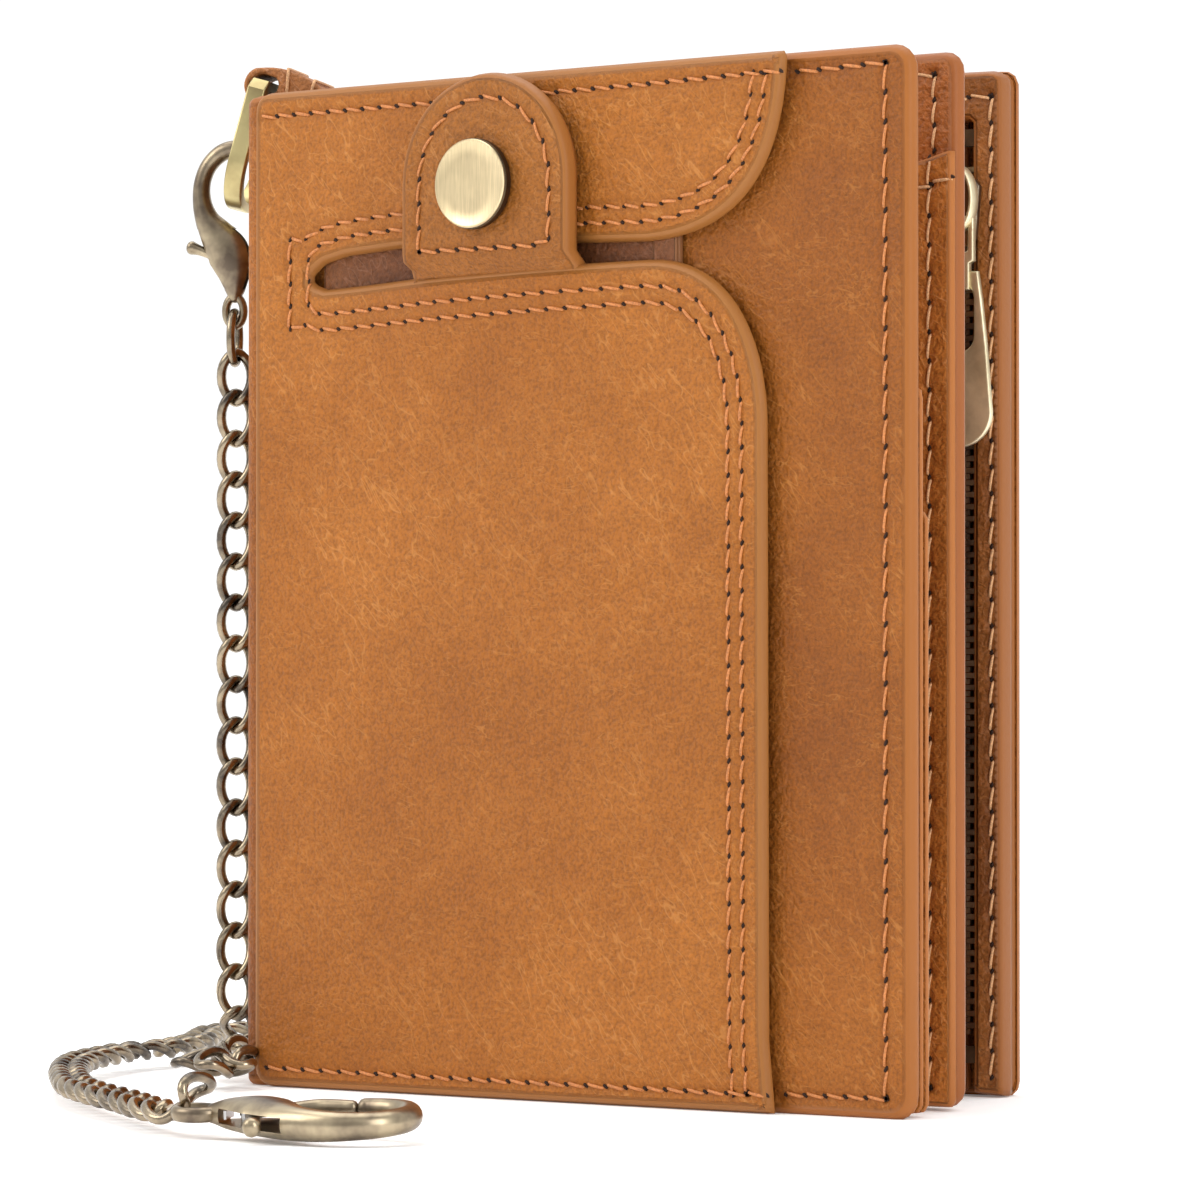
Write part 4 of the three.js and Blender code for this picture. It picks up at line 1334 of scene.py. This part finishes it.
def coin_pocket():
    face = -6.0
    rows = [Seam([(15, 113.6), (86.2, 113.6)], 2.9, CREAM), Seam([(86.8, 112), (86.8, 3)], 2.9, CREAM)]
    panel_shape = rounded(13, ZIP_X - 1.0, 0.6, 116.6, 1.0)
    panel = sewn("coin_panel", "coin_panel_stitch", BACK, panel_shape, face, -5.1, RED, "back_cover", 0.35,
                 rows)
    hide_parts("coin_pocket_panel")
    edge = BACK_WIDTH - 0.2
    outline = [(ZIP_X + 1.0, 0.6), (edge, 0.4), (edge, BACK_HEIGHT - 1.2), (edge - 1, BACK_HEIGHT - 0.4),
               (70, BACK_HEIGHT - 0.4), (70, 115.2), (ZIP_X + 1.0, 115.2)]
    column = BACK_WIDTH - 1.5
    rows = [Seam([(72, 117.6), (column, 117.8)], 2.7, CREAM),
            Seam([(column, 117.8), (column, 2.4)], 3.1, CREAM)]
    strip = sewn("coin_strip", "coin_strip_stitch", BACK, outline, face, -2.6, STRIP, "back_cover", 0.5,
                 rows, 1.5)
    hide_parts("coin_pocket_strip")


def zipper():
    teeth = Batch()
    first, pitch, width = 7.4, 1.42, 0.62
    for side in (-1, 1):
        x0, x1 = sorted((ZIP_X - side * 0.55, ZIP_X + side * 1.5))
        for k in range(72):
            z = first + pitch * k + (pitch / 2 if side > 0 else 0)
            corners = box_corners((x0, ZIP_DEPTH - 0.55, z), (x1, ZIP_DEPTH + 0.3, z + width))
            teeth.add(BACK.world(corners), BOX_FACES)
    row = make("zipper_teeth", teeth.vertices, teeth.faces, ANTIQUE, "back_cover", 20)
    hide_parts("zip_teeth_left", "zip_teeth_right")


def zip_slider():
    half = 2.3
    top = SLIDER_TOP
    shape = [(ZIP_X - half, top - 0.8), (ZIP_X - half * 0.72, top), (ZIP_X + half * 0.72, top),
             (ZIP_X + half, top - 0.8), (ZIP_X + 1.8, top - 6.8), (ZIP_X + 1.2, top - 8),
             (ZIP_X - 1.2, top - 8), (ZIP_X - 1.8, top - 6.8)]
    body = cutout("slider_body", [shape], 1.1, 0.3, in_plane(BACK, -6.55), ANTIQUE, "zip_slider")
    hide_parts("zip_slider")
    angles = np.linspace(0, 2 * math.pi, 32, endpoint=False)
    bail = np.stack([ZIP_X + 2.0 * np.cos(angles), top - 2.4 + 3.7 * np.sin(angles)], 1)
    vertices, faces = sweep(bail, 0.38, 1.15, 14, closed=True)
    make("slider_bail", in_plane(BACK, -8.1)(vertices), faces, PULL_BRASS, "zip_slider")


def mirror_outline(right_side):
    """A closed outline from its right half, given from the top to the bottom about ZIP_X."""
    right = [(ZIP_X + x, z) for x, z in right_side]
    left = [(ZIP_X - x, z) for x, z in right_side[::-1]]
    return right[::-1] + left[::-1]


def zip_pull():
    """A link whose stem is held in the head of a long paddle with a round-ended slot."""
    link_top, link_foot, stem_foot = 103.6, 98.3, 94.9
    link = mirror_outline([(2.0, link_top), (2.0, link_foot), (1.45, link_foot - 0.3), (1.45, stem_foot)])
    window = rounded(ZIP_X - 1.3, ZIP_X + 1.3, link_foot + 1.1, link_top - 0.7, 0.3, 0.3)
    hook = cutout("pull_link", [link, window[::-1]], 1.1, 0.2, in_plane(BACK, -7.8), PULL_BRASS, "zip_pull")
    head, foot, half = 97.1, 76.4, 4.1
    bottom = [(x, z) for x, z in arc((0, foot + half), half, 0, -90, 12)]
    paddle = mirror_outline([(2.4, head), (2.9, head - 3.6), (3.45, head - 8.6), *bottom[:-1], (0.01, foot)])
    slot = (arc((ZIP_X, head - 3.2), 1.9, 0, 180, 10) + arc((ZIP_X, head - 7.6), 1.9, 180, 360, 10))
    pull = cutout("pull_tab", [paddle, slot[::-1]], 0.9, 0.25, in_plane(BACK, -7.5), PULL_BRASS, "zip_pull")
    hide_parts("zip_pull")


front_cover()
overlay()
sleeve()
tab()
snap()
strap()
d_ring()
clasp("upper_clasp", upper_place, "upper_clasp", "upper_trigger")
clasp("lower_clasp", lower_place, "lower_clasp", "lower_trigger")
connecting_link()
middle_page()
back_cover()
coin_pocket()
zipper()
zip_slider()
zip_pull()
studio()


# ---- CAD nodes that show as they are ----
FINISHES = {
    "zip_tape": TAPE, "stop": DARK_BRASS_AND_SHADE, "zip": ANTIQUE, "spring": STEEL, "_pin": STEEL,
    "clasp": ANTIQUE, "link": GUNMETAL, "ring": BRASS, "stud": BRASS, "socket": BRASS,
    "lining": LINING, "divider": LINING, "pouch": LINING,
    "window_frame": DEEP, "window": FILM, "slot": DEEP, "": TAN,
}


def finish_of(name):
    """The finish of the first word above that is in the node's name."""
    return next(finish for word, finish in FINISHES.items() if word in name)


for node_name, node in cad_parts.items():
    node.data.materials.clear()
    node.data.materials.append(finish_of(node_name))
